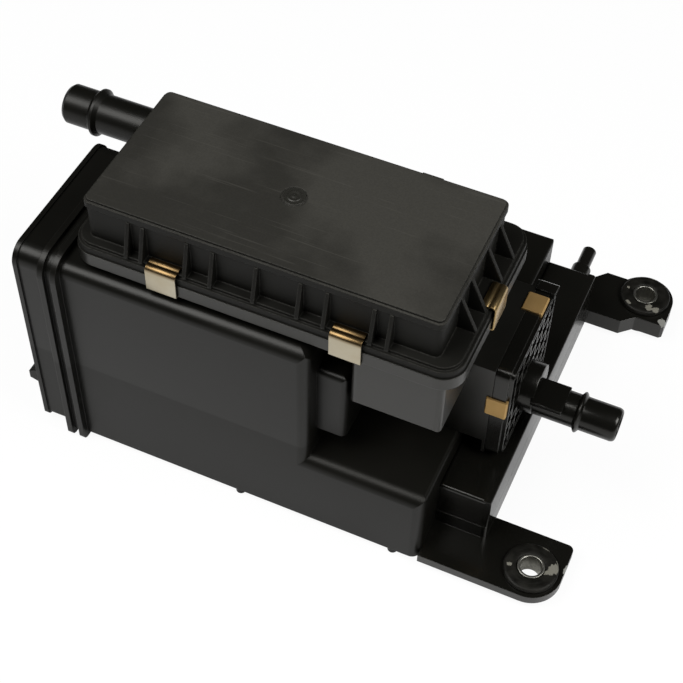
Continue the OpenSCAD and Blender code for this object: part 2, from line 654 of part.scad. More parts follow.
// The lid: flange, dome, lip, gusset ribs and the tab at its back.
module filter_lid() {
    color("#2b2b2a") {
        difference() {
            union() {
                z_prism(split_z, lid_flange_z1 - 1.6) flange_plan(0.7);
                z_prism(lid_flange_z1 - 1.6, lid_flange_z1) flange_plan(2.2);
                z_prism(lid_flange_z1 - 1, lid_top_z - 1.5) span(dome_x0, dome_x1, dome_y0, dome_y1, 3);
                z_prism(lid_top_z - lip_height, lid_top_z - 1.2)
                    span(dome_x0 - lip_proud, dome_x1 + lip_proud, dome_y0 - lip_proud, dome_y1 + lip_proud, 3.4);
                z_prism(lid_top_z - 1.4, lid_top_z)
                    span(dome_x0 - lip_proud + 1, dome_x1 + lip_proud - 1, dome_y0 - lip_proud + 1, dome_y1 + lip_proud - 1, 2.6);
                // Tab behind the dome
                box(rear_clip_x - 5, rear_clip_x + 5, dome_y1 - 1, tub_y1 - 0.7, lid_flange_z1 - 1, lid_flange_z1 + 11.8);
            }
            z_prism(split_z - 1, lid_top_z - lid_wall)
                span(dome_x0 + lid_wall, dome_x1 - lid_wall, dome_y0 + lid_wall, dome_y1 - lid_wall, 2);
            // Slot of the rear clip under the tab
            box(rear_clip_x - clip_width/2 - 0.3, rear_clip_x + clip_width/2 + 0.3,
                tub_y1 - clip_leg - 0.3, tub_y1 + 1, lid_flange_z1, lid_flange_z1 + clip_t + 0.3);
            // Gate mark on the top
            z_prism(lid_top_z - 0.4, lid_top_z + 1) translate([gate_x, gate_y])
                difference() { circle(d = gate_d); circle(d = gate_d - 1.6); }
        }
        // Ribs under the top that hold the filter frame down
        for (x = [panel_x0 + 2.5, panel_x1 - 4.5])
            box(x, x + 2, panel_y0 + 2, panel_y1 - 2, panel_z1, lid_top_z - lid_wall + eps);
        for (x = front_rib_x) translate([tub_x0 + x + rib_t/2, dome_y0, lid_flange_z1 - eps])
            rotate([90, 0, -90]) linear_extrude(rib_t) gusset_plan(lid_margin_y - 1);
        for (y = side_rib_y) translate([dome_x1, tub_y0 + y + rib_t/2, lid_flange_z1 - eps])
            rotate([90, 0, 0]) linear_extrude(rib_t) gusset_plan(lid_margin_right - 2.4);
        for (y = side_rib_y) translate([dome_x0, tub_y0 + y - rib_t/2, lid_flange_z1 - eps])
            rotate([90, 0, 180]) linear_extrude(rib_t) gusset_plan(lid_margin_left - 2.4);
        for (x = front_rib_x) if (abs(tub_x0 + x - rear_clip_x) > clip_width/2 + 3)
            translate([tub_x0 + x - rib_t/2, dome_y1, lid_flange_z1 - eps])
            rotate([90, 0, 90]) linear_extrude(rib_t) gusset_plan(lid_margin_y + lid_margin_extra - 2.4);
    }
}

// A spring clip across the flange in a plane: upper leg, back and lower leg.
// u = 0 is the flange edge, u grows inwards; v = 0 is the underside of the flange.
module clip_plan(grip, leg, foot, play) {
    polygon([[leg, grip], [leg, grip + clip_t], [0.6, grip + clip_t], [-play - clip_t, grip + clip_t - 0.9],
             [-play - clip_t, -clip_t + 0.7], [-play - clip_t + 0.7, -clip_t], [foot, -clip_t], [foot, 0],
             [-play, 0], [-play, grip]]);
}

// The five clips that hold the lid on the tub.
module lid_clips() {
    grip = tub_flange_t + lid_flange_t;
    color("#b79a5e") {
        for (x = front_clip_x) translate([x + clip_width/2, tub_y0, tub_flange_z0])
            rotate([90, 0, -90]) mirror([1, 0, 0]) linear_extrude(clip_width) clip_plan(grip, clip_leg, clip_foot, 0.5);
        translate([rear_clip_x - clip_width/2, tub_y1, tub_flange_z0])
            rotate([90, 0, 90]) mirror([1, 0, 0]) linear_extrude(clip_width) clip_plan(grip, clip_leg, clip_foot, 0.5);
        translate([tub_x1, side_clip_y + clip_width/2, tub_flange_z0])
            rotate([90, 0, 0]) mirror([1, 0, 0]) linear_extrude(clip_width) clip_plan(grip, clip_leg, clip_foot, 0.5);
        translate([tub_x0, side_clip_y - clip_width/2, tub_flange_z0])
            rotate([90, 0, 180]) mirror([1, 0, 0]) linear_extrude(clip_width) clip_plan(grip, lid_margin_left - 1, clip_foot, 0.5);
    }
}

// The soft frame of the filter panel.
module filter_frame() {
    color("#3c3a33") z_prism(panel_z0, panel_z1) difference() {
        span(panel_x0, panel_x1, panel_y0, panel_y1, 3);
        span(panel_x0 + frame_w, panel_x1 - frame_w, panel_y0 + frame_w, panel_y1 - frame_w);
    }
}

// The folded filter paper inside its frame, one zigzag sheet.
module filter_media() {
    x0 = panel_x0 + frame_w;
    pitch = (panel_x1 - panel_x0 - 2*frame_w)/fold_count;
    lo = panel_z0 + 1.2;
    hi = panel_z1 - 2.4;
    t = 1.2;
    upper = [for (i = [0:fold_count]) [x0 + i*pitch, (i % 2 == 0 ? lo : hi) + t]];
    lower = [for (i = [fold_count:-1:0]) [x0 + i*pitch, i % 2 == 0 ? lo : hi]];
    color("#d9d2b8") y_prism(panel_y0 + frame_w, panel_y1 - frame_w) polygon(concat(upper, lower));
}

// The screws that hold the pan on the tall chamber.
module tub_screws() {
    color("#8d8f92") for (x = screw_x, y = screw_y) {
        z_bar(pan_floor_z - screw_l + 1, pan_floor_z + eps, x, y, screw_d);
        z_bar(pan_floor_z, pan_floor_z + 2.4, x, y, screw_head_d);
    }
}

// The ring seal round the outlet into the tall chamber.
module outlet_seal() {
    color("#101011") translate([0, 0, 0]) difference() {
        z_bar(tower_in_z1, tower_top_z, outlet_x, outlet_y, outlet_seal_d);
        z_bar(tower_in_z1 - 1, tower_top_z + 1, outlet_x, outlet_y, outlet_d);
    }
}

// Outline of the vent cover in the YZ plane, drawn in by an inset.
module cover_plan(inset) {
    y0 = cover_y0 + inset; y1 = cover_y1 - inset;
    z0 = cover_z0 + inset; z1 = cover_z1 - inset;
    k = cover_cut - 0.6*inset; b = max(back_cut - 0.6*inset, 0.4); s = max(3 - 0.6*inset, 0.6);
    polygon([[y0 + s, z0], [y1 - s, z0], [y1, z0 + s], [y1, z1 - b], [y1 - b, z1],
             [y0 + k, z1], [y0, z1 - k], [y0, z0 + s]]);
}

// The vent cover: flange, face with grid ribs, boss, shelf and vent pipe.
module vent_cover() {
    color("#1d1e1f") difference() {
        union() {
            x_prism(cover_x0, cover_face_x) cover_plan(0);
            // Rim and grid ribs on the face
            x_prism(cover_face_x - eps, cover_face_x + grid_proud) {
                difference() { cover_plan(1); cover_plan(2.4); }
                intersection() {
                    cover_plan(1.6);
                    union() {
                        for (i = [-8:8]) translate([vent_y + i*grid_pitch - grid_rib_t/2, cover_z0]) square([grid_rib_t, cover_height]);
                        for (i = [-8:8]) translate([cover_y0, vent_z + i*grid_pitch - grid_rib_t/2]) square([cover_width, grid_rib_t]);
                    }
                }
            }
            // Boss, shelf and pipe
            soft_block_x(cover_face_x - 1, boss_face_x, vent_y - 14, vent_y + 13, vent_z - 13, vent_z + 16, 3);
            box(boss_face_x - 1, boss_face_x + 15, vent_y - 9.4, vent_y + 7, vent_z + 2, vent_z + 6.6);
            x_bar(boss_face_x - 1, vent_end_x - 1.8, vent_y, vent_z, vent_pipe_d);
            translate([vent_end_x - 1.8 - eps, vent_y, vent_z]) rotate([0, 90, 0])
                cylinder(d1 = vent_pipe_d, d2 = vent_pipe_d - 2.6, h = 1.8);
            x_bead(vent_end_x - 19, vent_y, vent_z, vent_pipe_d, vent_bead_d, 1.6);
        }
        // Hollow behind the face and the bore
        x_prism(cover_x0 - 1, cover_face_x - 2.2) cover_plan(6.5);
        x_bar(cover_x0, vent_end_x + 1, vent_y, vent_z, vent_bore_d);
        // Groove for the seal and the seats of the three clips
        x_prism(cover_x0 - 1, cover_x0 + 1.6) difference() { cover_plan(2.6); cover_plan(4.2); }
        cover_clip_seats(cover_face_x, cover_face_x + clip_t + 0.2);
    }
}

// A block along X with rounded corners.
module soft_block_x(x0, x1, y0, y1, z0, z1, r) x_prism(x0, x1) span(y0, y1, z0, z1, r);

// The ring seal between the vent cover and the duct.
module cover_seal() {
    color("#101011") x_prism(cover_x0, cover_x0 + 1.6) difference() { cover_plan(2.6); cover_plan(4.2); }
}

// The three places of the cover clips: top, front and rear; the child lies at its edge.
module at_cover_clips() {
    translate([0, top_clip_y, cover_z1]) children();
    translate([0, cover_y0, side_clip_z]) rotate([90, 0, 0]) children();
    translate([0, cover_y1, side_clip_z]) rotate([-90, 0, 0]) children();
}

// Pockets for one pair of clip legs between two planes across X.
module cover_clip_seats(x0, x1) {
    half = cover_clip_width/2 + 0.3;
    at_cover_clips() box(x0, x1, -half, half, -catch - 0.2, 1);
}

// A cover clip in its plane: two legs over the collar and the flange.
module cover_clip_plan(lift)
    polygon([[clip_back_x - clip_t, -catch], [clip_back_x, -catch], [clip_back_x, lift], [cover_face_x, lift],
             [cover_face_x, -catch], [cover_face_x + clip_t, -catch], [cover_face_x + clip_t, lift + clip_t - 0.5],
             [cover_face_x + clip_t - 0.5, lift + clip_t], [clip_back_x - clip_t + 0.5, lift + clip_t],
             [clip_back_x - clip_t, lift + clip_t - 0.5]]);

// The clips that hold the vent cover: over the collar of the duct and the cover flange.
module cover_clips()
    color("#c3a56b") at_cover_clips() y_prism(-cover_clip_width/2, cover_clip_width/2) cover_clip_plan(0);

// The fine screen in the duct behind the vent cover.
module vent_screen() {
    color("#77787a") x_prism(cover_x0 - 6, cover_x0 - 5)
        span(duct_y0 + lid_wall, duct_y1 - lid_wall, deck_top_z + lid_wall, duct_z1 - lid_wall);
}

// The two beds of charcoal grains, each drawn as one solid.
module front_bed() color("#0e0e0e") difference() {
    box(bed_x0, front_bed_x1, tower_in_y0, tower_in_y1, in_floor_z, tower_in_z1);
    for (x = screw_x, y = screw_y) z_bar(tower_in_z1 - screw_boss_l, tower_in_z1 + 1, x, y, screw_boss_d);
}
module rear_bed() color("#0e0e0e")
    box(bed_x0, rear_bed_x1, rear_in_y0, rear_in_y1, in_floor_z, rear_in_z1);

// The fleece screens at both ends of each bed.
module front_screens() color("#8a8578") {
    box(bed_x0 - screen_t, bed_x0, tower_in_y0, tower_in_y1, in_floor_z, tower_in_z1);
    box(front_bed_x1, front_bed_x1 + screen_t, tower_in_y0, tower_in_y1, in_floor_z, tower_in_z1);
}
module rear_screens() color("#8a8578") {
    box(bed_x0 - screen_t, bed_x0, rear_in_y0, rear_in_y1, in_floor_z, rear_in_z1);
    box(rear_bed_x1, rear_bed_x1 + screen_t, rear_in_y0, rear_in_y1, in_floor_z, rear_in_z1);
}

// A pierced plate that presses on a bed.
module pressure_plate(y0, y1, z0, z1) {
    pitch = 11;
    color("#3a3b3c") difference() {
        box(bed_x0 - screen_t - plate_t, bed_x0 - screen_t, y0 + slide_play, y1 - slide_play, z0 + slide_play, z1 - slide_play);
        for (y = [y0 + 8:pitch:y1 - 6], z = [z0 + 8:pitch:z1 - 6]) x_bar(weld_x - 1, bed_x0, y, z, 5);
    }
}
module front_plate() pressure_plate(tower_in_y0, tower_in_y1, in_floor_z, tower_in_z1);
module rear_plate() pressure_plate(rear_in_y0, rear_in_y1, in_floor_z, rear_in_z1);

// A coil spring along X between the cap and a pressure plate, as one swept tube.
module coil(x0, x1, y, z, turns = 3.5, per_turn = 14, sides = 6) {
    r = spring_d/2;
    w = spring_wire/2;
    n = round(turns*per_turn);
    pitch = (x1 - x0 - spring_wire)/turns;
    ring = [for (i = [0:n], k = [0:sides - 1])
        let (a = 360*i/per_turn, b = 360*k/sides)
        [x0 + w + pitch*i/per_turn + w*sin(b), y + (r + w*cos(b))*cos(a), z + (r + w*cos(b))*sin(a)]];
    sheet = [for (i = [0:n - 1], k = [0:sides - 1])
        [i*sides + k, i*sides + (k + 1) % sides, (i + 1)*sides + (k + 1) % sides, (i + 1)*sides + k]];
    ends = [[for (k = [sides - 1:-1:0]) k], [for (k = [0:sides - 1]) n*sides + k]];
    polyhedron(ring, concat(sheet, ends));
}
module front_springs() color("#a8aaac")
    for (z = [in_floor_z + 30, tower_in_z1 - 38]) coil(cap_in_x, weld_x, (tower_in_y0 + tower_in_y1)/2, z);
module rear_springs() color("#a8aaac")
    for (y = [rear_in_y0 + 28, rear_in_y1 - 28]) coil(cap_in_x, weld_x, y, (in_floor_z + rear_in_z1)/2);

canister_case();
end_cap();
mount_base();
manifold_block();
front_bush();
rear_bush();
front_sleeve();
rear_sleeve();
filter_tub();
lid_seal();
filter_lid();
lid_clips();
filter_frame();
filter_media();
tub_screws();
outlet_seal();
vent_cover();
cover_seal();
cover_clips();
vent_screen();
front_bed();
rear_bed();
front_screens();
rear_screens();
front_plate();
rear_plate();
front_springs();
rear_springs();
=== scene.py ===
"""Looks of a charcoal canister with its clipped filter box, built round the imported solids.

Every object is in metres in the part's own frame: +Z up, z = 0 the plane that the part stands on,
the origin midway between the two bolt holes. The sizes of pieces are given in millimetres.
"""

from __future__ import annotations

import logging
import math
from collections.abc import Callable
from dataclasses import dataclass
from enum import Enum

import bmesh
import bpy
from mathutils import Euler, Matrix, Vector

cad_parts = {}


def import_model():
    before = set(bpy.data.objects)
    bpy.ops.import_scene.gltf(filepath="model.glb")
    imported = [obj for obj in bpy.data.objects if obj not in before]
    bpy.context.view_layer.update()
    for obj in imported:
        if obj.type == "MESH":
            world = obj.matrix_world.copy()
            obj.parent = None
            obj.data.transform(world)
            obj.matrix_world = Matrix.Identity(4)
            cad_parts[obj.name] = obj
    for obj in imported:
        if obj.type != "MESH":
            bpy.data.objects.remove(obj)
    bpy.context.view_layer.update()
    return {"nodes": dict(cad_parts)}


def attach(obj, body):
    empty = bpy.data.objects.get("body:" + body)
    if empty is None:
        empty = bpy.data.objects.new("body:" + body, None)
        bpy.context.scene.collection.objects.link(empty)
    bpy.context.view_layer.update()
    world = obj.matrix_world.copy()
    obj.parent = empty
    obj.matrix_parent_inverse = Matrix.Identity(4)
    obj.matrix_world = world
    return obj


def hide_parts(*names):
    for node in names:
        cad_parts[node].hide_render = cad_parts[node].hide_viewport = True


Colour = tuple[float, float, float]
Point = tuple[float, float, float]
Span = tuple[float, float]
Profile = list[tuple[float, float]]

LOG = logging.getLogger("canister")
ROOT_BODY = "root"
MM = 0.001
SAME_PLACE = 0.0001  # metres within which two points count as one
FACING = 0.99  # part of a normal along an axis from which a face looks that way
ALONG_X: Point = (0.0, 90.0, 0.0)  # turn in degrees that lays an upright piece along +X
UNIT: Span = (0.0, 1.0)
WARM_MIRROR = (1.0, 0.985, 0.93, 1.0)  # tint of the plastics' reflections
LINE_SPAN: Span = (0.25, 0.75)
# Patchiness of the paler tone on upward faces: dust together with painted top light.
DUST_LIGHT_CLOUDS: Span = (0.3, 0.7)
DUST_LIGHT_PATCHES: Span = (0.5, 1.0)
DUST_LIGHT_FLECKS: Span = (0.86, 1.0)
SCRATCH_SPAN: Span = (0.64, 0.72)


class Axis(Enum):
    """The direction that brushing or drawing lines run along."""

    X = (1.0, 0.0, 0.0)
    Y = (0.0, 1.0, 0.0)
    Z = (0.0, 0.0, 1.0)


class Effect(Enum):
    """The shader effects that several finishes share."""

    GRAIN = "mould_grain"
    EDGE = "soft_edge"
    SCUFF = "pale_scuff"
    BRUSH = "brushed_lines"
    DUST = "settled_dust"


class Socket(Enum):
    """The kinds of value that a node group takes in or puts out."""

    NUMBER = "NodeSocketFloat"
    VECTOR = "NodeSocketVector"


class Part(Enum):
    """What is picked on a mesh that is open in edit mode."""

    EDGE = "EDGE"
    FACE = "FACE"


class Tree:
    """A node tree with short helpers for adding and joining nodes."""

    COLOURS_IN = (6, 7)
    COLOUR_OUT = 2

    def __init__(self, tree: bpy.types.NodeTree) -> None:
        """Wraps a node tree.

        Args:
            tree: The shader tree or group to add nodes to.
        """
        self.tree = tree

    def feed(self, value: object, socket: bpy.types.NodeSocket) -> None:
        """Links an output into an input, or sets a plain value on it.

        Args:
            value: The output socket or the value.
            socket: The input socket.
        """
        if isinstance(value, bpy.types.NodeSocket):
            self.tree.links.new(value, socket)
        else:
            socket.default_value = value

    def fill(self, node: bpy.types.Node, **sockets: object) -> None:
        """Feeds a node's inputs.

        Args:
            node: The node.
            sockets: Sockets or values by input name, with spaces written as underscores.
        """
        for name, value in sockets.items():
            self.feed(value, node.inputs[name.replace("_", " ")])

    def add(self, kind: str, **sockets: object) -> bpy.types.Node:
        """Adds a node and feeds its inputs.

        Args:
            kind: The node's Blender type name.
            sockets: Sockets or values by input name, with spaces written as underscores.

        Returns:
            The new node.
        """
        node = self.tree.nodes.new(kind)
        self.fill(node, **sockets)
        return node

    def operate(self, kind: str, operation: str, *values: object) -> bpy.types.Node:
        """Adds a node that works something out.

        Args:
            kind: The node's Blender type name.
            operation: What it works out.
            values: Its sockets or numbers, in order.

        Returns:
            The new node.
        """
        node = self.add(kind)
        node.operation = operation
        for value, socket in zip(values, node.inputs):
            self.feed(value, socket)
        return node

    def math(self, operation: str, first: object, second: object) -> bpy.types.NodeSocket:
        """Returns what an operation makes of two sockets or numbers."""
        return self.operate("ShaderNodeMath", operation, first, second).outputs[0]

    def times(self, first: object, second: object) -> bpy.types.NodeSocket:
        """Returns the product of two sockets or numbers."""
        return self.math("MULTIPLY", first, second)

    def vector(self, operation: str, *values: bpy.types.NodeSocket) -> bpy.types.Node:
        """Returns a new Vector Math node that works on the given sockets."""
        return self.operate("ShaderNodeVectorMath", operation, *values)

    def mix_colour(self, factor: object, first: object, second: object) -> bpy.types.NodeSocket:
        """Mixes two colours.

        Args:
            factor: A socket or a number from 0 to 1.
            first: The colour or socket at 0.
            second: The colour or socket at 1.

        Returns:
            The mixed colour's socket.
        """
        node = self.add("ShaderNodeMix", Factor=factor)
        node.data_type = "RGBA"
        for value, index in zip((first, second), self.COLOURS_IN):
            self.feed(rgba(value), node.inputs[index])
        return node.outputs[self.COLOUR_OUT]

    def spread(self, value: bpy.types.NodeSocket, source: Span, target: Span = UNIT) -> bpy.types.NodeSocket:
        """Maps a range of values to another, without passing its ends.

        Args:
            value: The socket to map.
            source: Its lowest and highest value.
            target: The values that these become.

        Returns:
            The mapped value's socket.
        """
        node = self.add("ShaderNodeMapRange", Value=value, From_Min=source[0], From_Max=source[1],
                        To_Min=target[0], To_Max=target[1])
        return node.outputs["Result"]

    def place(self) -> bpy.types.NodeSocket:
        """Returns the surface point in the part's frame."""
        return self.add("ShaderNodeTexCoord").outputs["Object"]

    def noise(self, point: bpy.types.NodeSocket, scale: object, detail: float) -> bpy.types.NodeSocket:
        """Returns noise at a point, with cells for each metre and octaves of finer noise."""
        return self.add("ShaderNodeTexNoise", Vector=point, Scale=scale, Detail=detail).outputs[0]

    def upward(self, vector: bpy.types.NodeSocket) -> bpy.types.NodeSocket:
        """Returns the Z part of a vector."""
        return self.add("ShaderNodeSeparateXYZ", Vector=vector).outputs["Z"]

    def above(self, line: float, weight: float, soft: float = 0.6) -> bpy.types.NodeSocket:
        """Gives a weight above a level, and nothing below it.

        Args:
            line: The level in millimetres.
            weight: The value above it.
            soft: Half the height over which it comes in, in millimetres.

        Returns:
            The value's socket.
        """
        span = ((line - soft) * MM, (line + soft) * MM)
        return self.spread(self.upward(self.place()), span, (0.0, weight))

    def relief(self, depth: float, **sockets: bpy.types.NodeSocket) -> bpy.types.NodeSocket:
        """Returns a normal that is bumped by a height, to a depth in metres."""
        return self.add("ShaderNodeBump", Distance=depth, Strength=1.0, **sockets).outputs["Normal"]


def rgba(value: object) -> object:
    """Adds full alpha to a plain colour, and leaves a socket as it is."""
    return value if isinstance(value, bpy.types.NodeSocket) else (*value, 1.0)


class EffectLibrary:
    """Builds each shared node group once and places it in materials."""

    CLOUD_SPAN: Span = (0.3, 0.7)
    SPECK_SPAN: Span = (0.35, 0.65)
    EDGE_SPAN: Span = (0.995, 0.86)
    EDGE_SAMPLES = 6
    TEAR_SPAN: Span = (0.25, 0.75)
    PATCH_SPAN: Span = (1.0, 0.86)
    UPWARD_SPAN: Span = (0.55, 0.97)

    def __init__(self) -> None:
        """Builds all the groups."""
        builders = {
            Effect.GRAIN: self.build_grain,
            Effect.EDGE: self.build_edge,
            Effect.SCUFF: self.build_scuff,
            Effect.BRUSH: self.build_brush,
            Effect.DUST: self.build_dust_and_top_light,
        }
        self.groups = {effect: build(effect.value) for effect, build in builders.items()}

    def place(self, tree: Tree, effect: Effect, **sockets: object) -> bpy.types.Node:
        """Places a group in a material.

        Args:
            tree: The material's tree.
            effect: Which group.
            sockets: Sockets or values by input name, with spaces written as underscores.

        Returns:
            The group node.
        """
        node = tree.add("ShaderNodeGroup")
        node.node_tree = self.groups[effect]
        tree.fill(node, **sockets)
        return node

    @staticmethod
    def open_group(name: str, inputs: dict[str, Socket],
                   outputs: dict[str, Socket]) -> tuple[Tree, bpy.types.Node, bpy.types.Node]:
        """Starts a node group with its sockets.

        Args:
            name: The group's name.
            inputs: The kind of each input by its name.
            outputs: The kind of each output by its name.

        Returns:
            The group's tree, its input node and its output node.
        """
        group = bpy.data.node_groups.new(name, "ShaderNodeTree")
        for way, sockets in (("INPUT", inputs), ("OUTPUT", outputs)):
            for label, kind in sockets.items():
                group.interface.new_socket(name=label, in_out=way, socket_type=kind.value)
        tree = Tree(group)
        return tree, tree.add("NodeGroupInput"), tree.add("NodeGroupOutput")

    def build_grain(self, name: str) -> bpy.types.NodeTree:
        """Fine moulded grain as a height and as a mask of specks, and slow clouds as a mask.

        Args:
            name: The group's name.

        Returns:
            The finished group.
        """
        tree, source, result = self.open_group(
            name, {"Grain Scale": Socket.NUMBER, "Cloud Scale": Socket.NUMBER},
            {"Height": Socket.NUMBER, "Cloud": Socket.NUMBER, "Speck": Socket.NUMBER})
        point = tree.place()
        fine = tree.noise(point, source.outputs["Grain Scale"], detail=2.0)
        cloud = tree.noise(point, source.outputs["Cloud Scale"], detail=4.0)
        tree.fill(result, Height=fine, Cloud=tree.spread(cloud, self.CLOUD_SPAN),
                  Speck=tree.spread(fine, self.SPECK_SPAN))
        return tree.tree

    def build_edge(self, name: str) -> bpy.types.NodeTree:
        """A small edge radius as a normal, and a mask that is 1 on the edges.

        Args:
            name: The group's name.

        Returns:
            The finished group.
        """
        tree, source, result = self.open_group(
            name, {"Radius": Socket.NUMBER}, {"Normal": Socket.VECTOR, "Edge": Socket.NUMBER})
        bevel = tree.add("ShaderNodeBevel", Radius=source.outputs["Radius"])
        bevel.samples = self.EDGE_SAMPLES
        flat = tree.add("ShaderNodeNewGeometry")
        dot = tree.vector("DOT_PRODUCT", bevel.outputs[0], flat.outputs["Normal"])
        tree.fill(result, Normal=bevel.outputs[0], Edge=tree.spread(dot.outputs["Value"], self.EDGE_SPAN))
        return tree.tree

    def build_scuff(self, name: str) -> bpy.types.NodeTree:
        """A ragged rubbed patch that fills about one unit round the origin of its own space.

        Args:
            name: The group's name.

        Returns:
            The finished group.
        """
        tree, source, result = self.open_group(
            name, {"Local": Socket.VECTOR, "Tear": Socket.NUMBER, "Tear Scale": Socket.NUMBER},
            {"Mask": Socket.NUMBER})
        away = tree.vector("LENGTH", source.outputs["Local"])
        tear = tree.noise(tree.place(), source.outputs["Tear Scale"], detail=3.0)
        ragged = tree.times(tree.spread(tear, self.TEAR_SPAN, (-1.0, 1.0)), source.outputs["Tear"])
        torn = tree.math("ADD", away.outputs["Value"], ragged)
        tree.fill(result, Mask=tree.spread(torn, self.PATCH_SPAN))
        return tree.tree

    def build_dust_and_top_light(self, name: str) -> bpy.types.NodeTree:
        """A mask of the faces that look up, which dust and rubbing together with painted top light make
        paler.

        Args:
            name: The group's name.

        Returns:
            The finished group.
        """
        tree, source, result = self.open_group(name, {"Normal": Socket.VECTOR}, {"Mask": Socket.NUMBER})
        tree.fill(result, Mask=tree.spread(tree.upward(source.outputs["Normal"]), self.UPWARD_SPAN))
        return tree.tree

    def build_brush(self, name: str) -> bpy.types.NodeTree:
        """Fine drawn lines, stretched by the scale given for each axis.

        Args:
            name: The group's name.

        Returns:
            The finished group.
        """
        tree, source, result = self.open_group(name, {"Stretch": Socket.VECTOR}, {"Lines": Socket.NUMBER})
        scaled = tree.vector("MULTIPLY", tree.place(), source.outputs["Stretch"])
        tree.fill(result, Lines=tree.noise(scaled.outputs[0], scale=1.0, detail=3.0))
        return tree.tree


@dataclass(frozen=True)
class Scuff:
    """A rubbed patch: centre and half sizes in millimetres, turned about Z in degrees."""

    centre: Point
    reach: Point
    turn: float = 0.0
    tear: float = 0.3
    tear_scale: float = 700.0

    def mask(self, tree: Tree, effects: EffectLibrary) -> bpy.types.NodeSocket:
        """Places the patch in a material.

        Args:
            tree: The material's tree.
            effects: The shared effects.

        Returns:
            The patch's mask.
        """
        local = tree.add("ShaderNodeMapping")
        local.vector_type = "TEXTURE"
        tree.fill(local, Vector=tree.place(), Location=[v * MM for v in self.centre],
                  Rotation=(0.0, 0.0, math.radians(self.turn)), Scale=[v * MM for v in self.reach])
        patch = effects.place(tree, Effect.SCUFF, Local=local.outputs[0], Tear=self.tear,
                              Tear_Scale=self.tear_scale)
        return patch.outputs["Mask"]


@dataclass(frozen=True)
class Moulded:
    """A moulded plastic or rubber: tone, gloss, grain, soft edges paled by wear and a painted highlight,
    dust with painted top light, polish and scuffs.
    """

    name: str
    deep: Colour
    pale: Colour
    gloss: Span
    grain_scale: float = 2400.0
    grain_depth: float = 0.00002
    cloud_scale: float = 14.0
    edge_radius: float = 0.00045
    # Paler edges: partly wear, partly a painted highlight on the rounded edges.
    wear_highlight_tone: Colour = (0.05, 0.049, 0.045)
    wear_highlight_weight: float = 0.35
    # Tone of the upward faces: partly dust, partly painted top light.
    dust: Colour | None = None
    dust_and_top_light_above: float = 0.0
    scratch: float = 0.0
    scratch_stretch: Point = (22.0, 900.0, 900.0)
    specular: float = 0.42
    coat: float = 0.0
    coat_gloss: float = 0.1
    coat_above: float | None = None
    scuff_colour: Colour = (0.2, 0.19, 0.155)
    scuff_roughness: float = 0.3
    scuffs: tuple[Scuff, ...] = ()

    def material(self, effects: EffectLibrary) -> bpy.types.Material:
        """Builds the material.

        Args:
            effects: The shared effects.

        Returns:
            The new material.
        """
        material, tree, shader = start_material(self.name)
        grain = effects.place(tree, Effect.GRAIN, Grain_Scale=self.grain_scale, Cloud_Scale=self.cloud_scale)
        edge = effects.place(tree, Effect.EDGE, Radius=self.edge_radius)
        tone = tree.mix_colour(grain.outputs["Cloud"], self.deep, self.pale)
        # Upward faces paler: partly dust, partly painted top light.
        if self.dust:
            tone = self.add_dust_and_top_light(tree, effects, tone, grain, edge)
        # Edges made paler: partly wear, partly a painted highlight.
        wear_highlight_mask = tree.times(edge.outputs["Edge"], grain.outputs["Speck"])
        tone = tree.mix_colour(tree.times(wear_highlight_mask, self.wear_highlight_weight), tone, self.wear_highlight_tone)
        rough = tree.spread(grain.outputs["Cloud"], UNIT, self.gloss)
        for scuff in self.scuffs:
            mask = scuff.mask(tree, effects)
            tone = tree.mix_colour(mask, tone, self.scuff_colour)
            rough = tree.math("ADD", rough, tree.times(mask, self.scuff_roughness))
        bumped = tree.relief(self.grain_depth, Height=grain.outputs["Height"], Normal=edge.outputs["Normal"])
        tree.fill(shader, Base_Color=tone, Roughness=rough, Normal=bumped, Specular_IOR_Level=self.specular,
                  Specular_Tint=WARM_MIRROR, Coat_Weight=self.polish(tree), Coat_Roughness=self.coat_gloss)
        return material

    def add_dust_and_top_light(self, tree: Tree, effects: EffectLibrary, tone: bpy.types.NodeSocket,
                 grain: bpy.types.Node, edge: bpy.types.Node) -> bpy.types.NodeSocket:
        """Makes the faces that look up paler, as dust together with painted top light, with a few fine
        scratches.

        Args:
            tree: The material's tree.
            effects: The shared effects.
            tone: The colour so far.
            grain: The placed grain group.
            edge: The placed edge group.

        Returns:
            The new colour's socket.
        """
        # Mask of upward faces for the dust and the painted top light.
        level = effects.place(tree, Effect.DUST, Normal=edge.outputs["Normal"]).outputs["Mask"]
        mask = tree.times(level, tree.above(self.dust_and_top_light_above, 1.0))
        patchy = tree.times(mask, tree.spread(grain.outputs["Cloud"], DUST_LIGHT_CLOUDS, DUST_LIGHT_PATCHES))
        fleck = tree.spread(grain.outputs["Speck"], UNIT, DUST_LIGHT_FLECKS)
        tone = tree.mix_colour(tree.times(patchy, fleck), tone, self.dust)
        lines = effects.place(tree, Effect.BRUSH, Stretch=self.scratch_stretch).outputs["Lines"]
        streaks = tree.times(tree.spread(lines, SCRATCH_SPAN, (0.0, self.scratch)), mask)
        return tree.mix_colour(streaks, tone, self.wear_highlight_tone)

    def polish(self, tree: Tree) -> object:
        """Returns the polish's weight: all over, or only above a parting line of the mould."""
        return self.coat if self.coat_above is None else tree.above(self.coat_above, self.coat)


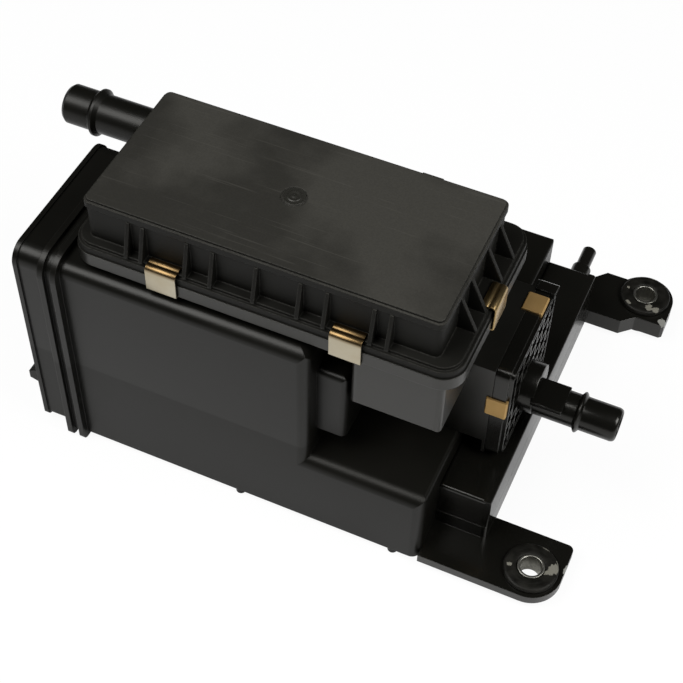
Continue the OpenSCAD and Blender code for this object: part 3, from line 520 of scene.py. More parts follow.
@dataclass(frozen=True)
class Metal:
    """A plated or bare metal: two tones, gloss, drawn lines and a painted dark reflection above a level."""

    name: str
    bright: Colour
    tint: Colour
    gloss: Span
    lines: Axis = Axis.X
    line_scale: float = 5200.0
    line_stretch: float = 0.03
    line_depth: float = 0.000006
    grain_scale: float = 900.0
    cloud_scale: float = 60.0
    edge_radius: float = 0.0003
    # Darker tone above a level: a painted dark reflection.
    painted_dark_reflection: Colour | None = None
    painted_reflection_above: float = 0.0
    painted_reflection_soft: float = 1.0

    def material(self, effects: EffectLibrary) -> bpy.types.Material:
        """Builds the material.

        Args:
            effects: The shared effects.

        Returns:
            The new material.
        """
        material, tree, shader = start_material(self.name)
        grain = effects.place(tree, Effect.GRAIN, Grain_Scale=self.grain_scale, Cloud_Scale=self.cloud_scale)
        edge = effects.place(tree, Effect.EDGE, Radius=self.edge_radius)
        stretch = [self.line_scale * (self.line_stretch if part else 1.0) for part in self.lines.value]
        lines = effects.place(tree, Effect.BRUSH, Stretch=stretch).outputs["Lines"]
        tone = tree.mix_colour(grain.outputs["Cloud"], self.bright, self.tint)
        # Painted dark reflection above a level.
        if self.painted_dark_reflection:
            tone = tree.mix_colour(tree.above(self.painted_reflection_above, 1.0, self.painted_reflection_soft), tone, self.painted_dark_reflection)
        bumped = tree.relief(self.line_depth, Height=lines, Normal=edge.outputs["Normal"])
        tree.fill(shader, Base_Color=tone, Roughness=tree.spread(lines, LINE_SPAN, self.gloss),
                  Normal=bumped, Metallic=1.0)
        return material


@dataclass(frozen=True)
class Fibrous:
    """Paper, fleece, woven wire or grains: a coarse mottled surface."""

    name: str
    deep: Colour
    pale: Colour
    roughness: float
    fibre_scale: float
    fibre_depth: float
    metallic: float = 0.0
    cloud_scale: float = 40.0

    def material(self, effects: EffectLibrary) -> bpy.types.Material:
        """Builds the material.

        Args:
            effects: The shared effects.

        Returns:
            The new material.
        """
        material, tree, shader = start_material(self.name)
        grain = effects.place(tree, Effect.GRAIN, Grain_Scale=self.fibre_scale, Cloud_Scale=self.cloud_scale)
        tone = tree.mix_colour(grain.outputs["Speck"], self.deep, self.pale)
        bumped = tree.relief(self.fibre_depth, Height=grain.outputs["Height"])
        tree.fill(shader, Base_Color=tone, Normal=bumped, Roughness=self.roughness, Metallic=self.metallic)
        return material


Finish = Moulded | Metal | Fibrous


def start_material(name: str) -> tuple[bpy.types.Material, Tree, bpy.types.Node]:
    """Makes a material with a lone Principled shader.

    Args:
        name: The material's name.

    Returns:
        The material, its tree and its shader node.
    """
    material = bpy.data.materials.new(name)
    material.use_nodes = True
    return material, Tree(material.node_tree), material.node_tree.nodes["Principled BSDF"]


class Modeller:
    """Steps of modelling by hand with Blender's own operators; sizes in millimetres."""

    WELD = 0.000001
    STRIP_SHARP = 60.0
    STRIP_SMOOTH = 40.0

    @staticmethod
    def select_only(piece: bpy.types.Object | None = None) -> None:
        """Deselects everything, then selects a piece and makes it active.

        Args:
            piece: The piece, or nothing.
        """
        bpy.ops.object.select_all(action="DESELECT")
        if piece is not None:
            piece.select_set(True)
            bpy.context.view_layer.objects.active = piece

    @staticmethod
    def open(name: str) -> bpy.types.Object:
        """Names the primitive that was just added and opens it in edit mode.

        Args:
            name: The piece's name.

        Returns:
            The piece.
        """
        piece = bpy.context.object
        piece.name = piece.data.name = name
        bpy.ops.object.mode_set(mode="EDIT")
        return piece

    @staticmethod
    def pick(piece: bpy.types.Object, kind: Part, test: Callable[[object], bool]) -> None:
        """Selects the edges or faces that pass a test.

        Args:
            piece: The object that is open in edit mode.
            kind: Edges or faces.
            test: Says whether an edge or face is taken.
        """
        bpy.ops.mesh.select_mode(type=kind.value)
        bpy.ops.mesh.select_all(action="DESELECT")
        mesh = bmesh.from_edit_mesh(piece.data)
        for part in (mesh.faces if kind is Part.FACE else mesh.edges):
            if test(part):
                part.select_set(True)
        bmesh.update_edit_mesh(piece.data)

    @staticmethod
    def round_picked(radius: float, segments: int) -> None:
        """Rounds the picked edges; one segment makes a chamfer."""
        bpy.ops.mesh.bevel(offset=radius * MM, segments=segments, affect="EDGES")

    @staticmethod
    def draw_out(x: float, y: float, z: float) -> None:
        """Extrudes what is picked along a vector."""
        bpy.ops.mesh.extrude_region_move(TRANSFORM_OT_translate={"value": (x * MM, y * MM, z * MM)})

    @classmethod
    def close(cls, piece: bpy.types.Object, smooth: float = 35.0) -> bpy.types.Object:
        """Leaves edit mode, puts the place into the mesh and smooths the curved faces.

        Args:
            piece: The object that is open in edit mode.
            smooth: Edges under this angle in degrees are shaded smooth.

        Returns:
            The same object.
        """
        bpy.ops.mesh.select_all(action="SELECT")
        bpy.ops.mesh.remove_doubles(threshold=cls.WELD)
        bpy.ops.mesh.normals_make_consistent(inside=False)
        bpy.ops.object.mode_set(mode="OBJECT")
        bpy.ops.object.transform_apply(location=True, rotation=True, scale=True)
        bpy.ops.object.shade_smooth_by_angle(angle=math.radians(smooth))
        return piece

    @classmethod
    def place(cls, piece: bpy.types.Object, place: Point, turn: Point = (0.0, 0.0, 0.0)) -> None:
        """Turns a finished piece about the origin, moves it and puts both into its mesh.

        Args:
            piece: The piece, modelled at the origin.
            place: Where its origin goes.
            turn: Its turn about X, Y and Z in degrees.
        """
        cls.select_only(piece)
        piece.rotation_euler = [math.radians(v) for v in turn]
        piece.location = [v * MM for v in place]
        bpy.ops.object.transform_apply(location=True, rotation=True, scale=True)

    @classmethod
    def copy(cls, piece: bpy.types.Object, name: str) -> bpy.types.Object:
        """Copies a finished piece with its own mesh.

        Args:
            piece: The piece.
            name: The copy's name.

        Returns:
            The copy.
        """
        cls.select_only(piece)
        bpy.ops.object.duplicate(linked=False)
        twin = bpy.context.object
        twin.name = twin.data.name = name
        return twin

    @staticmethod
    def finish(piece: bpy.types.Object, kind: str, **settings: object) -> None:
        """Adds a modifier with its settings and applies it.

        Args:
            piece: The object, which is active.
            kind: The modifier's type.
            settings: Its properties by name.
        """
        step = piece.modifiers.new(kind.lower(), kind)
        for name, value in settings.items():
            setattr(step, name, value)
        bpy.ops.object.modifier_apply(modifier=step.name)

    @classmethod
    def soften(cls, piece: bpy.types.Object, width: float, angle: float) -> None:
        """Bevels the edges of a finished piece that are sharper than an angle in degrees."""
        cls.finish(piece, "BEVEL", width=width * MM, segments=2, limit_method="ANGLE",
                   angle_limit=math.radians(angle))

    @staticmethod
    def quarter(y: float, z: float, radius: float, start: float, steps: int) -> Profile:
        """Draws a bend: a quarter circle, clockwise from a start angle.

        Args:
            y: The centre's Y.
            z: The centre's Z.
            radius: The bend's radius.
            start: The start angle in degrees.
            steps: How many steps it has.

        Returns:
            The points from the start to the end.
        """
        turns = [math.radians(start - 90.0 * step / steps) for step in range(steps + 1)]
        return [(y + radius * math.cos(turn), z + radius * math.sin(turn)) for turn in turns]

    @classmethod
    def turned(cls, name: str, profile: Profile, sides: int) -> bpy.types.Object:
        """Turns a closed profile about the Z axis: a ring that is extruded and resized step by step.

        Args:
            name: The piece's name.
            profile: Radius and height of each step, round the whole section.
            sides: Points round the axis.

        Returns:
            The new piece.
        """
        radius, height = profile[0]
        cls.select_only()
        bpy.ops.mesh.primitive_circle_add(
            vertices=sides, radius=radius * MM, location=(0.0, 0.0, height * MM))
        piece = cls.open(name)
        bpy.ops.mesh.select_mode(type=Part.EDGE.value)
        bpy.ops.mesh.select_all(action="SELECT")
        for next_radius, next_height in [*profile[1:], profile[0]]:
            cls.draw_out(0.0, 0.0, next_height - height)
            ratio = next_radius / radius
            bpy.ops.transform.resize(
                value=(ratio, ratio, 1.0), center_override=(0.0, 0.0, next_height * MM))
            radius, height = next_radius, next_height
        return cls.close(piece)

    @classmethod
    def block(cls, name: str, low: Point, high: Point) -> bpy.types.Object:
        """Adds a cube primitive at its size and place, open in edit mode.

        Args:
            name: The piece's name.
            low: Its lowest corner.
            high: Its highest corner.

        Returns:
            The new piece.
        """
        centre = [(a + b) / 2 * MM for a, b in zip(low, high)]
        cls.select_only()
        bpy.ops.mesh.primitive_cube_add(size=1.0, location=centre)
        piece = cls.open(name)
        bpy.ops.transform.resize(value=[(b - a) * MM for a, b in zip(low, high)], center_override=centre)
        return piece

    @classmethod
    def strip(cls, name: str, width: float, path: Profile, wall: float, edge: float) -> bpy.types.Object:
        """Bends a strip of sheet along a path in the YZ plane, starting with a level first leg.

        Args:
            name: The piece's name.
            width: The strip's width along X.
            path: The strip's middle line as Y and Z of each point.
            wall: The sheet's thickness.
            edge: How far its cut edges are softened.

        Returns:
            The new piece.
        """
        (y0, z0), (y1, _) = path[:2]
        centre = (0.0, (y0 + y1) / 2 * MM, z0 * MM)
        cls.select_only()
        bpy.ops.mesh.primitive_plane_add(size=1.0, location=centre)
        piece = cls.open(name)
        bpy.ops.transform.resize(value=(width * MM, abs(y1 - y0) * MM, 1.0), center_override=centre)
        end = (y1 - y0) / 2 * MM
        cls.pick(piece, Part.EDGE, lambda side: all(abs(v.co.y - end) < SAME_PLACE for v in side.verts))
        for (ya, za), (yb, zb) in zip(path[1:], path[2:]):
            cls.draw_out(0.0, yb - ya, zb - za)
        cls.close(piece)
        cls.finish(piece, "SOLIDIFY", thickness=wall * MM, offset=0.0, use_even_offset=True)
        cls.soften(piece, edge, cls.STRIP_SHARP)
        bpy.ops.object.shade_smooth_by_angle(angle=math.radians(cls.STRIP_SMOOTH))
        return piece


class Workshop:
    """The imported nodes, the shared effects and the finishes that were made so far."""

    def __init__(self, nodes: dict[str, bpy.types.Object]) -> None:
        """Keeps the nodes and builds the effects.

        Args:
            nodes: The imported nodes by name.
        """
        self.nodes = nodes
        self.effects = EffectLibrary()
        self.made: dict[str, bpy.types.Material] = {}

    def paint(self, piece: bpy.types.Object, finish: Finish) -> None:
        """Gives a piece a finish, whose material is made on its first use.

        Args:
            piece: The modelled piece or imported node.
            finish: Its finish.
        """
        if finish.name not in self.made:
            self.made[finish.name] = finish.material(self.effects)
        piece.data.materials.clear()
        piece.data.materials.append(self.made[finish.name])

    def dress(self, **finishes: Finish) -> None:
        """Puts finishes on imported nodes.

        Args:
            finishes: The finish for each node's name.
        """
        for node, finish in finishes.items():
            self.paint(self.nodes[node], finish)
            LOG.info("dressed %s with %s", node, finish.name)

    def fit(self, piece: bpy.types.Object, finish: Finish, slot: str, node: str | None = None) -> None:
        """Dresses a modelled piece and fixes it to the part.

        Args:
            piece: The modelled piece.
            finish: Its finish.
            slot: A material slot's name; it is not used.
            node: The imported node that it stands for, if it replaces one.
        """
        self.paint(piece, finish)
        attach(piece, ROOT_BODY)
        if node:
            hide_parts(node)
        LOG.info("built %s", piece.name)


@dataclass
class CaseAssembly:
    """The welded case with its cap and the manifold with the bolt ears."""

    shop: Workshop
    flank_low: Point = (-29.5, -83.9, 17.7)
    flank_high: Point = (-25.5, 73.3, 37.76)
    flank_top_edge: float = 1.3
    flank_side_edge: float = 1.2
    case_finish: Moulded = Moulded(
        "case_plastic", (0.0032, 0.0031, 0.0024), (0.005, 0.0048, 0.0038), (0.3, 0.4),
        specular=0.15, coat=0.1, coat_gloss=0.3, coat_above=59.0)
    base_finish: Moulded = Moulded(
        "base_plastic", (0.0032, 0.0031, 0.0024), (0.0052, 0.005, 0.004), (0.18, 0.26),
        specular=0.34, coat=0.1, coat_gloss=0.1, scuff_colour=(0.22, 0.22, 0.2), scuffs=(
            Scuff((15.2, -84.9, 8.6), (0.9, 2.4, 1.5), -2.0, 0.35),
            Scuff((13.6, 78.6, 13.4), (2.1, 2.9, 2.0), 35.0, 0.4),
        ))

    def build_flank(self) -> None:
        """Models the block's outer wall, which meets the base without a step and has softened edges."""
        low, high = self.flank_low, self.flank_high
        flank = Modeller.block("manifold_flank", low, high)
        half = (high[2] - low[2]) / 2 * MM
        Modeller.pick(flank, Part.EDGE, lambda edge: all(
            v.co.x > 0.0 and abs(v.co.z - half) < SAME_PLACE for v in edge.verts))
        Modeller.round_picked(self.flank_top_edge, segments=5)
        Modeller.pick(flank, Part.EDGE, lambda edge: all(v.co.x > 0.0 for v in edge.verts)
                      and abs(edge.verts[0].co.y - edge.verts[1].co.y) < SAME_PLACE
                      and abs(edge.verts[0].co.z - edge.verts[1].co.z) > half / 2)
        Modeller.round_picked(self.flank_side_edge, segments=4)
        Modeller.close(flank)
        self.shop.fit(flank, self.base_finish, "base_plastic")

    def build(self) -> None:
        """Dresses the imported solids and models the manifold's outer wall."""
        self.shop.dress(canister_case=self.case_finish, end_cap=self.case_finish,
                        mount_base=self.base_finish, manifold_block=self.base_finish)
        self.build_flank()


@dataclass
class BoltMount:
    """A rubber bush in a bolt ear with the steel sleeve for the bolt, both turned pieces."""

    shop: Workshop
    side: str
    bolt_y: float
    ear_top: float
    bush_top: float
    sleeve_top: float
    scuffs: tuple[Scuff, ...]
    lip_radius: float = 13.3
    waist_radius: float = 10.0
    sleeve_radius: float = 6.6
    bore_radius: float = 5.2
    bush_low: float = 0.4
    floor: float = 3.7
    slip: float = 0.02
    seat_gap: float = 0.03
    groove_radii: Point = (9.4, 9.7, 10.0)
    groove_depth: float = 0.05
    sides: int = 96
    sleeve_finish: Metal = Metal(
        "sleeve_steel", (0.34, 0.335, 0.3), (0.2, 0.195, 0.17), (0.3, 0.44), Axis.Z)

    @property
    def rubber_finish(self) -> Moulded:
        """The bush's finish, with the worn spots of its side."""
        return Moulded(
            "bush_rubber_" + self.side, (0.0022, 0.0021, 0.0016), (0.0095, 0.0091, 0.0074), (0.42, 0.54),
            # Paler bush edges: wear and a painted highlight.
            grain_scale=1300.0, grain_depth=0.00012, cloud_scale=190.0, wear_highlight_tone=(0.02, 0.019, 0.016),
            wear_highlight_weight=0.3, scuff_colour=(0.15, 0.144, 0.12), specular=0.16, scuffs=self.scuffs)

    def bush_profile(self) -> Profile:
        """Draws the rubber's section: two rounded lips, a waist and a shallow ring groove on top.

        Returns:
            Radius and height of each point.
        """
        r, top, low = self.lip_radius, self.bush_top, self.bush_low
        inner, waist = self.sleeve_radius + self.slip, self.waist_radius - self.slip
        over, under = self.ear_top + self.seat_gap, self.floor - self.seat_gap
        groove_in, groove, groove_out = self.groove_radii
        return [
            (inner, low), (inner, top - 0.7), (inner + 0.25, top - 0.35), (inner + 0.7, top - 0.12),
            (inner + 1.5, top), (groove_in, top), (groove, top - self.groove_depth), (groove_out, top),
            (r - 1.6, top - 0.02), (r - 0.9, top - 0.16), (r - 0.35, top - 0.5), (r - 0.05, top - 1.0),
            (r, top - 1.5), (r - 0.1, self.ear_top + 0.35), (r - 0.5, over), (waist, over),
            (waist, under), (r - 0.4, under), (r, self.floor - 0.6), (r, low + 0.6), (r - 0.5, low),
        ]

    def sleeve_profile(self) -> Profile:
        """Draws the sleeve's section: a tube with rounded ends.

        Returns:
            Radius and height of each point.
        """
        r, bore, top = self.sleeve_radius, self.bore_radius, self.sleeve_top
        return [
            (bore, 0.3), (bore, top - 0.35), (bore + 0.12, top - 0.12), (bore + 0.35, top), (r - 0.35, top),
            (r - 0.1, top - 0.1), (r, top - 0.35), (r, 0.3), (r - 0.3, 0.0), (bore + 0.3, 0.0),
        ]

    def build(self) -> None:
        """Models the bush and the sleeve and fits them to the ear."""
        bush = Modeller.turned(self.side + "_bush_rubber", self.bush_profile(), self.sides)
        sleeve = Modeller.turned(self.side + "_bolt_sleeve", self.sleeve_profile(), self.sides)
        for piece in (bush, sleeve):
            Modeller.place(piece, (0.0, self.bolt_y, 0.0))
        self.shop.fit(bush, self.rubber_finish, "bush_rubber", self.side + "_bush")
        self.shop.fit(sleeve, self.sleeve_finish, "sleeve_steel", self.side + "_sleeve")


@dataclass
class LidClips:
    """The five sprung clips of the lid: bent strips with a rolled top leg."""

    shop: Workshop
    width: float = 14.8
    wall: float = 0.9
    edge: float = 0.16
    face_gap: float = 0.5
    foot_gap: float = 0.05
    leg_gap: float = 0.02
    low_bend: float = 0.8
    high_bend: float = 1.9
    crest: float = 0.45
    foot: float = 3.0
    grip: float = 12.1
    seat: float = 130.2
    wave: tuple[Span, ...] = (
        (1.45, 0.38), (1.85, 0.16), (2.25, 0.03), (2.65, 0.08), (3.1, 0.3), (3.6, 0.5), (4.0, 0.54),
        (4.5, 0.42), (5.0, 0.2), (5.5, 0.06), (5.9, 0.02),
    )
    steel: Metal = Metal(
        "clip_steel", (0.43, 0.395, 0.31), (0.36, 0.31, 0.215), (0.3, 0.38), Axis.X,
        # The darker brown over the rolled top leg is a painted reflection of the dark lid wall.
        line_depth=0.000002, painted_dark_reflection=(0.16, 0.105, 0.047), painted_reflection_above=141.8)
    gold_steel: Metal = Metal(
        "clip_gold_steel", (0.42, 0.3, 0.14), (0.36, 0.25, 0.11), (0.24, 0.36), Axis.Y)

    def path(self) -> Profile:
        """Draws the strip's middle line: foot, face, wide bend and a top leg with one rolled wave.

        Returns:
            Y and Z of each point.
        """
        face = -(self.face_gap + self.wall / 2)
        low = -self.wall / 2 - self.foot_gap
        high = self.grip + self.wall / 2 + self.leg_gap
        crest = high + self.crest
        tight, wide = self.low_bend, self.high_bend
        return [
            (self.foot, low),
            *Modeller.quarter(face + tight, low + tight, tight, start=270.0, steps=5),
            (face, (low + crest) / 2),
            *Modeller.quarter(face + wide, crest - wide, wide, start=180.0, steps=8),
            *((y, high + rise) for y, rise in self.wave),
        ]

    def build(self) -> None:
        """Models one clip and copies it to the five places."""
        places = (
            ("lid_clip_front_left", -181.5, -101.2, 0.0, self.steel),
            ("lid_clip_front_right", -94.3, -101.2, 0.0, self.steel),
            ("lid_clip_back", -93.5, -6.7, 180.0, self.steel),
            ("lid_clip_left", -228.0, -53.2, -90.0, self.gold_steel),
            ("lid_clip_right", -44.0, -53.2, 90.0, self.gold_steel),
        )
        first = Modeller.strip(places[0][0], self.width, self.path(), self.wall, self.edge)
        pieces = [first] + [Modeller.copy(first, name) for name, *_ in places[1:]]
        for piece, (_, x, y, turn, finish) in zip(pieces, places):
            Modeller.place(piece, (x, y, self.seat), (0.0, 0.0, turn))
            self.shop.fit(piece, finish, "clip_steel", "lid_clips")


@dataclass
class FilterBox:
    """The tub, the ribbed lid with its gate mark and the filter panel inside."""

    shop: Workshop
    gate_place: Point = (-139.5, -55.2, 164.9)
    gate_section: tuple[Span, ...] = (
        (0.3, 0.42), (0.9, 0.36), (1.3, 0.14), (1.9, 0.1), (2.5, 0.34), (3.0, 0.34), (3.3, 0.1),
        (4.4, 0.05), (5.1, 0.12), (5.2, -0.3), (0.3, -0.3),
    )
    gate_sides: int = 48
    tub_finish: Moulded = Moulded(
        "tub_plastic", (0.005, 0.0049, 0.004), (0.0075, 0.0073, 0.006), (0.3, 0.38),
        # Paler tub edges: wear and a painted highlight.
        specular=0.43, wear_highlight_weight=0.5, wear_highlight_tone=(0.05, 0.048, 0.043))
    lid_finish: Moulded = Moulded(
        "lid_plastic", (0.0045, 0.0044, 0.0036), (0.0065, 0.0063, 0.0052), (0.5, 0.6),
        grain_scale=1300.0, grain_depth=0.00005, cloud_scale=17.0, edge_radius=0.0009,
        # Paler upward faces on the lid top: dust together with painted top light.
        dust=(0.036, 0.0347, 0.03), dust_and_top_light_above=150.0, scratch=0.22, specular=0.14,
        # Paler lid edges: wear and a painted highlight.
        wear_highlight_weight=0.4, wear_highlight_tone=(0.075, 0.072, 0.063))
    gate_finish: Moulded = Moulded(
        "gate_plastic", (0.01, 0.0097, 0.008), (0.014, 0.0136, 0.0112), (0.32, 0.42))
    seal_finish: Moulded = Moulded("seal_rubber", (0.01, 0.01, 0.01), (0.016, 0.016, 0.016), (0.5, 0.6))
    frame_finish: Moulded = Moulded("frame_rubber", (0.04, 0.038, 0.033), (0.06, 0.057, 0.05), (0.7, 0.8))
    screw_finish: Metal = Metal(
        "screw_steel", (0.56, 0.56, 0.55), (0.46, 0.46, 0.45), (0.22, 0.36), Axis.Z)
    paper_finish: Fibrous = Fibrous(
        "filter_paper", (0.6, 0.55, 0.4), (0.72, 0.67, 0.52), 0.85, 1800.0, 0.00008)

    def build_gate(self) -> None:
        """Models the broken-off gate in its shallow dish on the lid."""
        gate = Modeller.turned("lid_gate", list(self.gate_section), self.gate_sides)
        Modeller.place(gate, self.gate_place)
        self.shop.fit(gate, self.gate_finish, "lid_plastic")

    def build(self) -> None:
        """Dresses the box and what it holds, and models its gate mark."""
        self.shop.dress(filter_tub=self.tub_finish, filter_lid=self.lid_finish, lid_seal=self.seal_finish,
                        outlet_seal=self.seal_finish, filter_frame=self.frame_finish,
                        filter_media=self.paper_finish, tub_screws=self.screw_finish)
        self.build_gate()


@dataclass
class VentCover:
    """The vent cover: rimmed shell, crossed ribs, boss, shelf, lug and hose pipe, with seal and clips."""

    shop: Workshop
    low: Point = (-38.9, -60.5, 38.9)
    high: Point = (-32.1, 1.5, 102.9)
    corners: tuple[tuple[int, int, float], ...] = ((-1, 1, 4.6), (1, 1, 7.0), (-1, -1, 8.0), (1, -1, 8.0))
    shell_edge: float = 0.25
    shell_sharp: float = 50.0
    axis_y: float = -34.1
    axis_z: float = 61.9
    pipe_end: float = 16.89
    pipe_radius: float = 8.3
    pipe_sides: int = 96
    bore_radius: float = 6.3
    bead_radius: float = 10.0
    bead_back: float = 19.0
    bead_section: tuple[Span, ...] = (
        (0.0, 1.7), (0.25, 1.3), (0.75, 0.8), (1.0, 0.25),
        (1.0, -0.25), (0.75, -0.8), (0.25, -1.3), (0.0, -1.7),
    )
    rim_in: float = 1.5
    rim_wall: float = 1.2
    rim_proud: float = 1.8
    pocket: float = 4.0
    sunk: float = 0.2
    rib_pitch: float = 8.8
    rib_wall: float = 1.45
    rib_below_rim: float = 0.05
    rib_edge: float = 0.2
    rib_sharp: float = 30.0
    ribs_before_axis: int = 2
    upright_ribs: int = 6
    level_ribs: int = 7
    boss_radius: float = 12.4
    boss_shift: Span = (2.6, 2.9)
    boss_face: float = -23.4
    boss_core: float = 0.5
    boss_sides: int = 80
    drill_inside: float = 0.6
    drill_length: float = 60.0
    drill_sides: int = 64
    shelf_low: Point = (-24.4, -44.8, 68.0)
    shelf_high: Point = (-9.2, -28.4, 70.4)
    lug_low: Point = (-38.9, -7.0, 100.4)
    lug_high: Point = (-29.6, 1.0, 104.1)
    lug_chamfer: float = 2.2
    shelf_edge: float = 0.3
    shelf_sharp: float = 40.0
    cover_finish: Moulded = Moulded(
        "cover_plastic", (0.0034, 0.0033, 0.0026), (0.0054, 0.0052, 0.0042), (0.2, 0.28), specular=0.3)
    clip_finish: Metal = Metal(
        "cover_clip_steel", (0.6, 0.4, 0.17), (0.5, 0.33, 0.13), (0.58, 0.7), Axis.Y)
    seal_finish: Moulded = Moulded(
        "cover_seal_rubber", (0.01, 0.01, 0.01), (0.016, 0.016, 0.016), (0.5, 0.6))
    screen_finish: Fibrous = Fibrous(
        "screen_steel", (0.3, 0.3, 0.3), (0.5, 0.5, 0.5), 0.35, 1500.0, 0.0002, 1.0)

    @property
    def rim_face(self) -> float:
        """The X of the rim's outer face."""
        return self.high[0] + self.rim_proud

    @property
    def pocket_back(self) -> float:
        """The X at which what stands in the pocket starts, just inside its floor."""
        return self.rim_face - self.pocket - self.sunk

    def fit(self, piece: bpy.types.Object) -> None:
        """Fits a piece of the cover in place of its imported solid."""
        self.shop.fit(piece, self.cover_finish, "cover_plastic", "vent_cover")

    def fit_softened(self, piece: bpy.types.Object, edge: float, angle: float) -> None:
        """Closes a piece, softens its edges and fits it.

        Args:
            piece: The piece, open in edit mode.
            edge: How far its edges are softened.
            angle: Edges sharper than this angle in degrees are softened.
        """
        Modeller.close(piece)
        Modeller.soften(piece, edge, angle)
        self.fit(piece)

    def round_corner(self, shell: bpy.types.Object, side_y: int, side_z: int, radius: float) -> None:
        """Rounds one of the shell's edges along X.

        Args:
            shell: The shell, open in edit mode.
            side_y: The edge's side along Y, -1 or 1.
            side_z: The edge's side along Z, -1 or 1.
            radius: Its radius.
        """
        half_y, half_z = ((b - a) / 2 * MM for a, b in zip(self.low[1:], self.high[1:]))
        y, z = side_y * half_y, side_z * half_z
        Modeller.pick(shell, Part.EDGE, lambda edge: all(
            abs(v.co.y - y) < SAME_PLACE and abs(v.co.z - z) < SAME_PLACE for v in edge.verts))
        Modeller.round_picked(radius, segments=8)

    def build_shell(self) -> None:
        """Models the shell: a rounded plate with a raised rim round a pocket."""
        shell = Modeller.block("cover_shell", self.low, self.high)
        for side_y, side_z, radius in self.corners:
            self.round_corner(shell, side_y, side_z, radius)
        Modeller.pick(shell, Part.FACE, lambda face: face.normal.x > FACING)
        for inset, step in ((self.rim_in, self.rim_proud), (self.rim_wall, -self.pocket)):
            bpy.ops.mesh.inset(thickness=inset * MM)
            Modeller.draw_out(step, 0.0, 0.0)
        self.fit_softened(shell, self.shell_edge, self.shell_sharp)

    def build_ribs(self) -> None:
        """Models the crossed ribs in the pocket: one upright and one level rib, each repeated."""
        face, back = self.rim_face - self.rib_below_rim, self.pocket_back
        edge = self.rim_in + self.rim_wall - self.sunk
        half = self.rib_wall / 2
        first_y = self.axis_y - self.ribs_before_axis * self.rib_pitch
        first_z = self.axis_z - self.ribs_before_axis * self.rib_pitch
        upright = Modeller.block("cover_ribs_upright", (back, first_y - half, self.low[2] + edge),
                                 (face, first_y + half, self.high[2] - edge))
        self.repeat(upright, (0.0, self.rib_pitch * MM, 0.0), self.upright_ribs)
        level = Modeller.block("cover_ribs_level", (back, self.low[1] + edge, first_z - half),
                               (face, self.high[1] - edge, first_z + half))
        self.repeat(level, (0.0, 0.0, self.rib_pitch * MM), self.level_ribs)

    def repeat(self, rib: bpy.types.Object, pitch: Point, count: int) -> None:
        """Closes a rib, softens its edges and repeats it.

        Args:
            rib: The first rib, open in edit mode.
            pitch: The step from rib to rib in metres.
            count: How many ribs.
        """
        Modeller.close(rib)
        Modeller.soften(rib, self.rib_edge, self.rib_sharp)
        Modeller.finish(rib, "ARRAY", count=count, use_relative_offset=False, use_constant_offset=True,
                        constant_offset_displace=pitch)
        self.fit(rib)

    def build_pipe(self) -> None:
        """Models the hose pipe with its bead, its rounded mouth and its bore."""
        r, bore, end, back = self.pipe_radius, self.bore_radius, self.pipe_end, self.pocket_back
        bead, swell = end - self.bead_back, self.bead_radius - self.pipe_radius
        profile = [
            (bore, back), (bore, end - 0.8), (bore + 0.2, end - 0.25), (bore + 0.6, end),
            (r - 1.3, end - 0.05), (r - 0.75, end - 0.35), (r - 0.3, end - 1.0), (r, end - 2.0),
            *((r + share * swell, bead + shift) for share, shift in self.bead_section),
            (r, back),
        ]
        pipe = Modeller.turned("vent_hose_pipe", profile, self.pipe_sides)
        Modeller.place(pipe, (0.0, self.axis_y, self.axis_z), ALONG_X)
        self.fit(pipe)

    def build_boss(self) -> None:
        """Models the round boss behind the pipe, with the bore cut through it."""
        r, core, face, back = self.boss_radius, self.boss_core, self.boss_face, self.pocket_back
        profile = [(core, back), (core, face), (r - 0.6, face), (r - 0.2, face - 0.2),
                   (r, face - 0.6), (r, back)]
        boss = Modeller.turned("vent_boss", profile, self.boss_sides)
        shift_y, shift_z = self.boss_shift
        Modeller.place(boss, (0.0, self.axis_y + shift_y, self.axis_z + shift_z), ALONG_X)
        Modeller.select_only()
        bpy.ops.mesh.primitive_cylinder_add(
            vertices=self.drill_sides, radius=(self.pipe_radius - self.drill_inside) * MM,
            depth=self.drill_length * MM, rotation=[math.radians(v) for v in ALONG_X],
            location=((back + face) / 2 * MM, self.axis_y * MM, self.axis_z * MM))
        drill = bpy.context.object
        Modeller.select_only(boss)
        Modeller.finish(boss, "BOOLEAN", operation="DIFFERENCE", object=drill, solver="EXACT")
        bpy.data.objects.remove(drill)
        self.fit(boss)

    def build_shelf(self) -> None:
        """Models the shelf over the pipe."""
        shelf = Modeller.block("vent_shelf", self.shelf_low, self.shelf_high)
        self.fit_softened(shelf, self.shelf_edge, self.shelf_sharp)

    def build_lug(self) -> None:
        """Models the lug on top, with one chamfered edge."""
        lug = Modeller.block("cover_lug", self.lug_low, self.lug_high)
        Modeller.pick(lug, Part.EDGE, lambda edge: all(v.co.y > 0.0 and v.co.z > 0.0 for v in edge.verts))
        Modeller.round_picked(self.lug_chamfer, segments=1)
        self.fit_softened(lug, self.shelf_edge, self.shelf_sharp)

    def build(self) -> None:
        """Dresses the clips, the seal and the screen, and models the cover."""
        self.shop.dress(cover_clips=self.clip_finish, cover_seal=self.seal_finish,
                        vent_screen=self.screen_finish)
        self.build_shell()
        self.build_ribs()
        self.build_pipe()
        self.build_boss()
        self.build_shelf()
        self.build_lug()


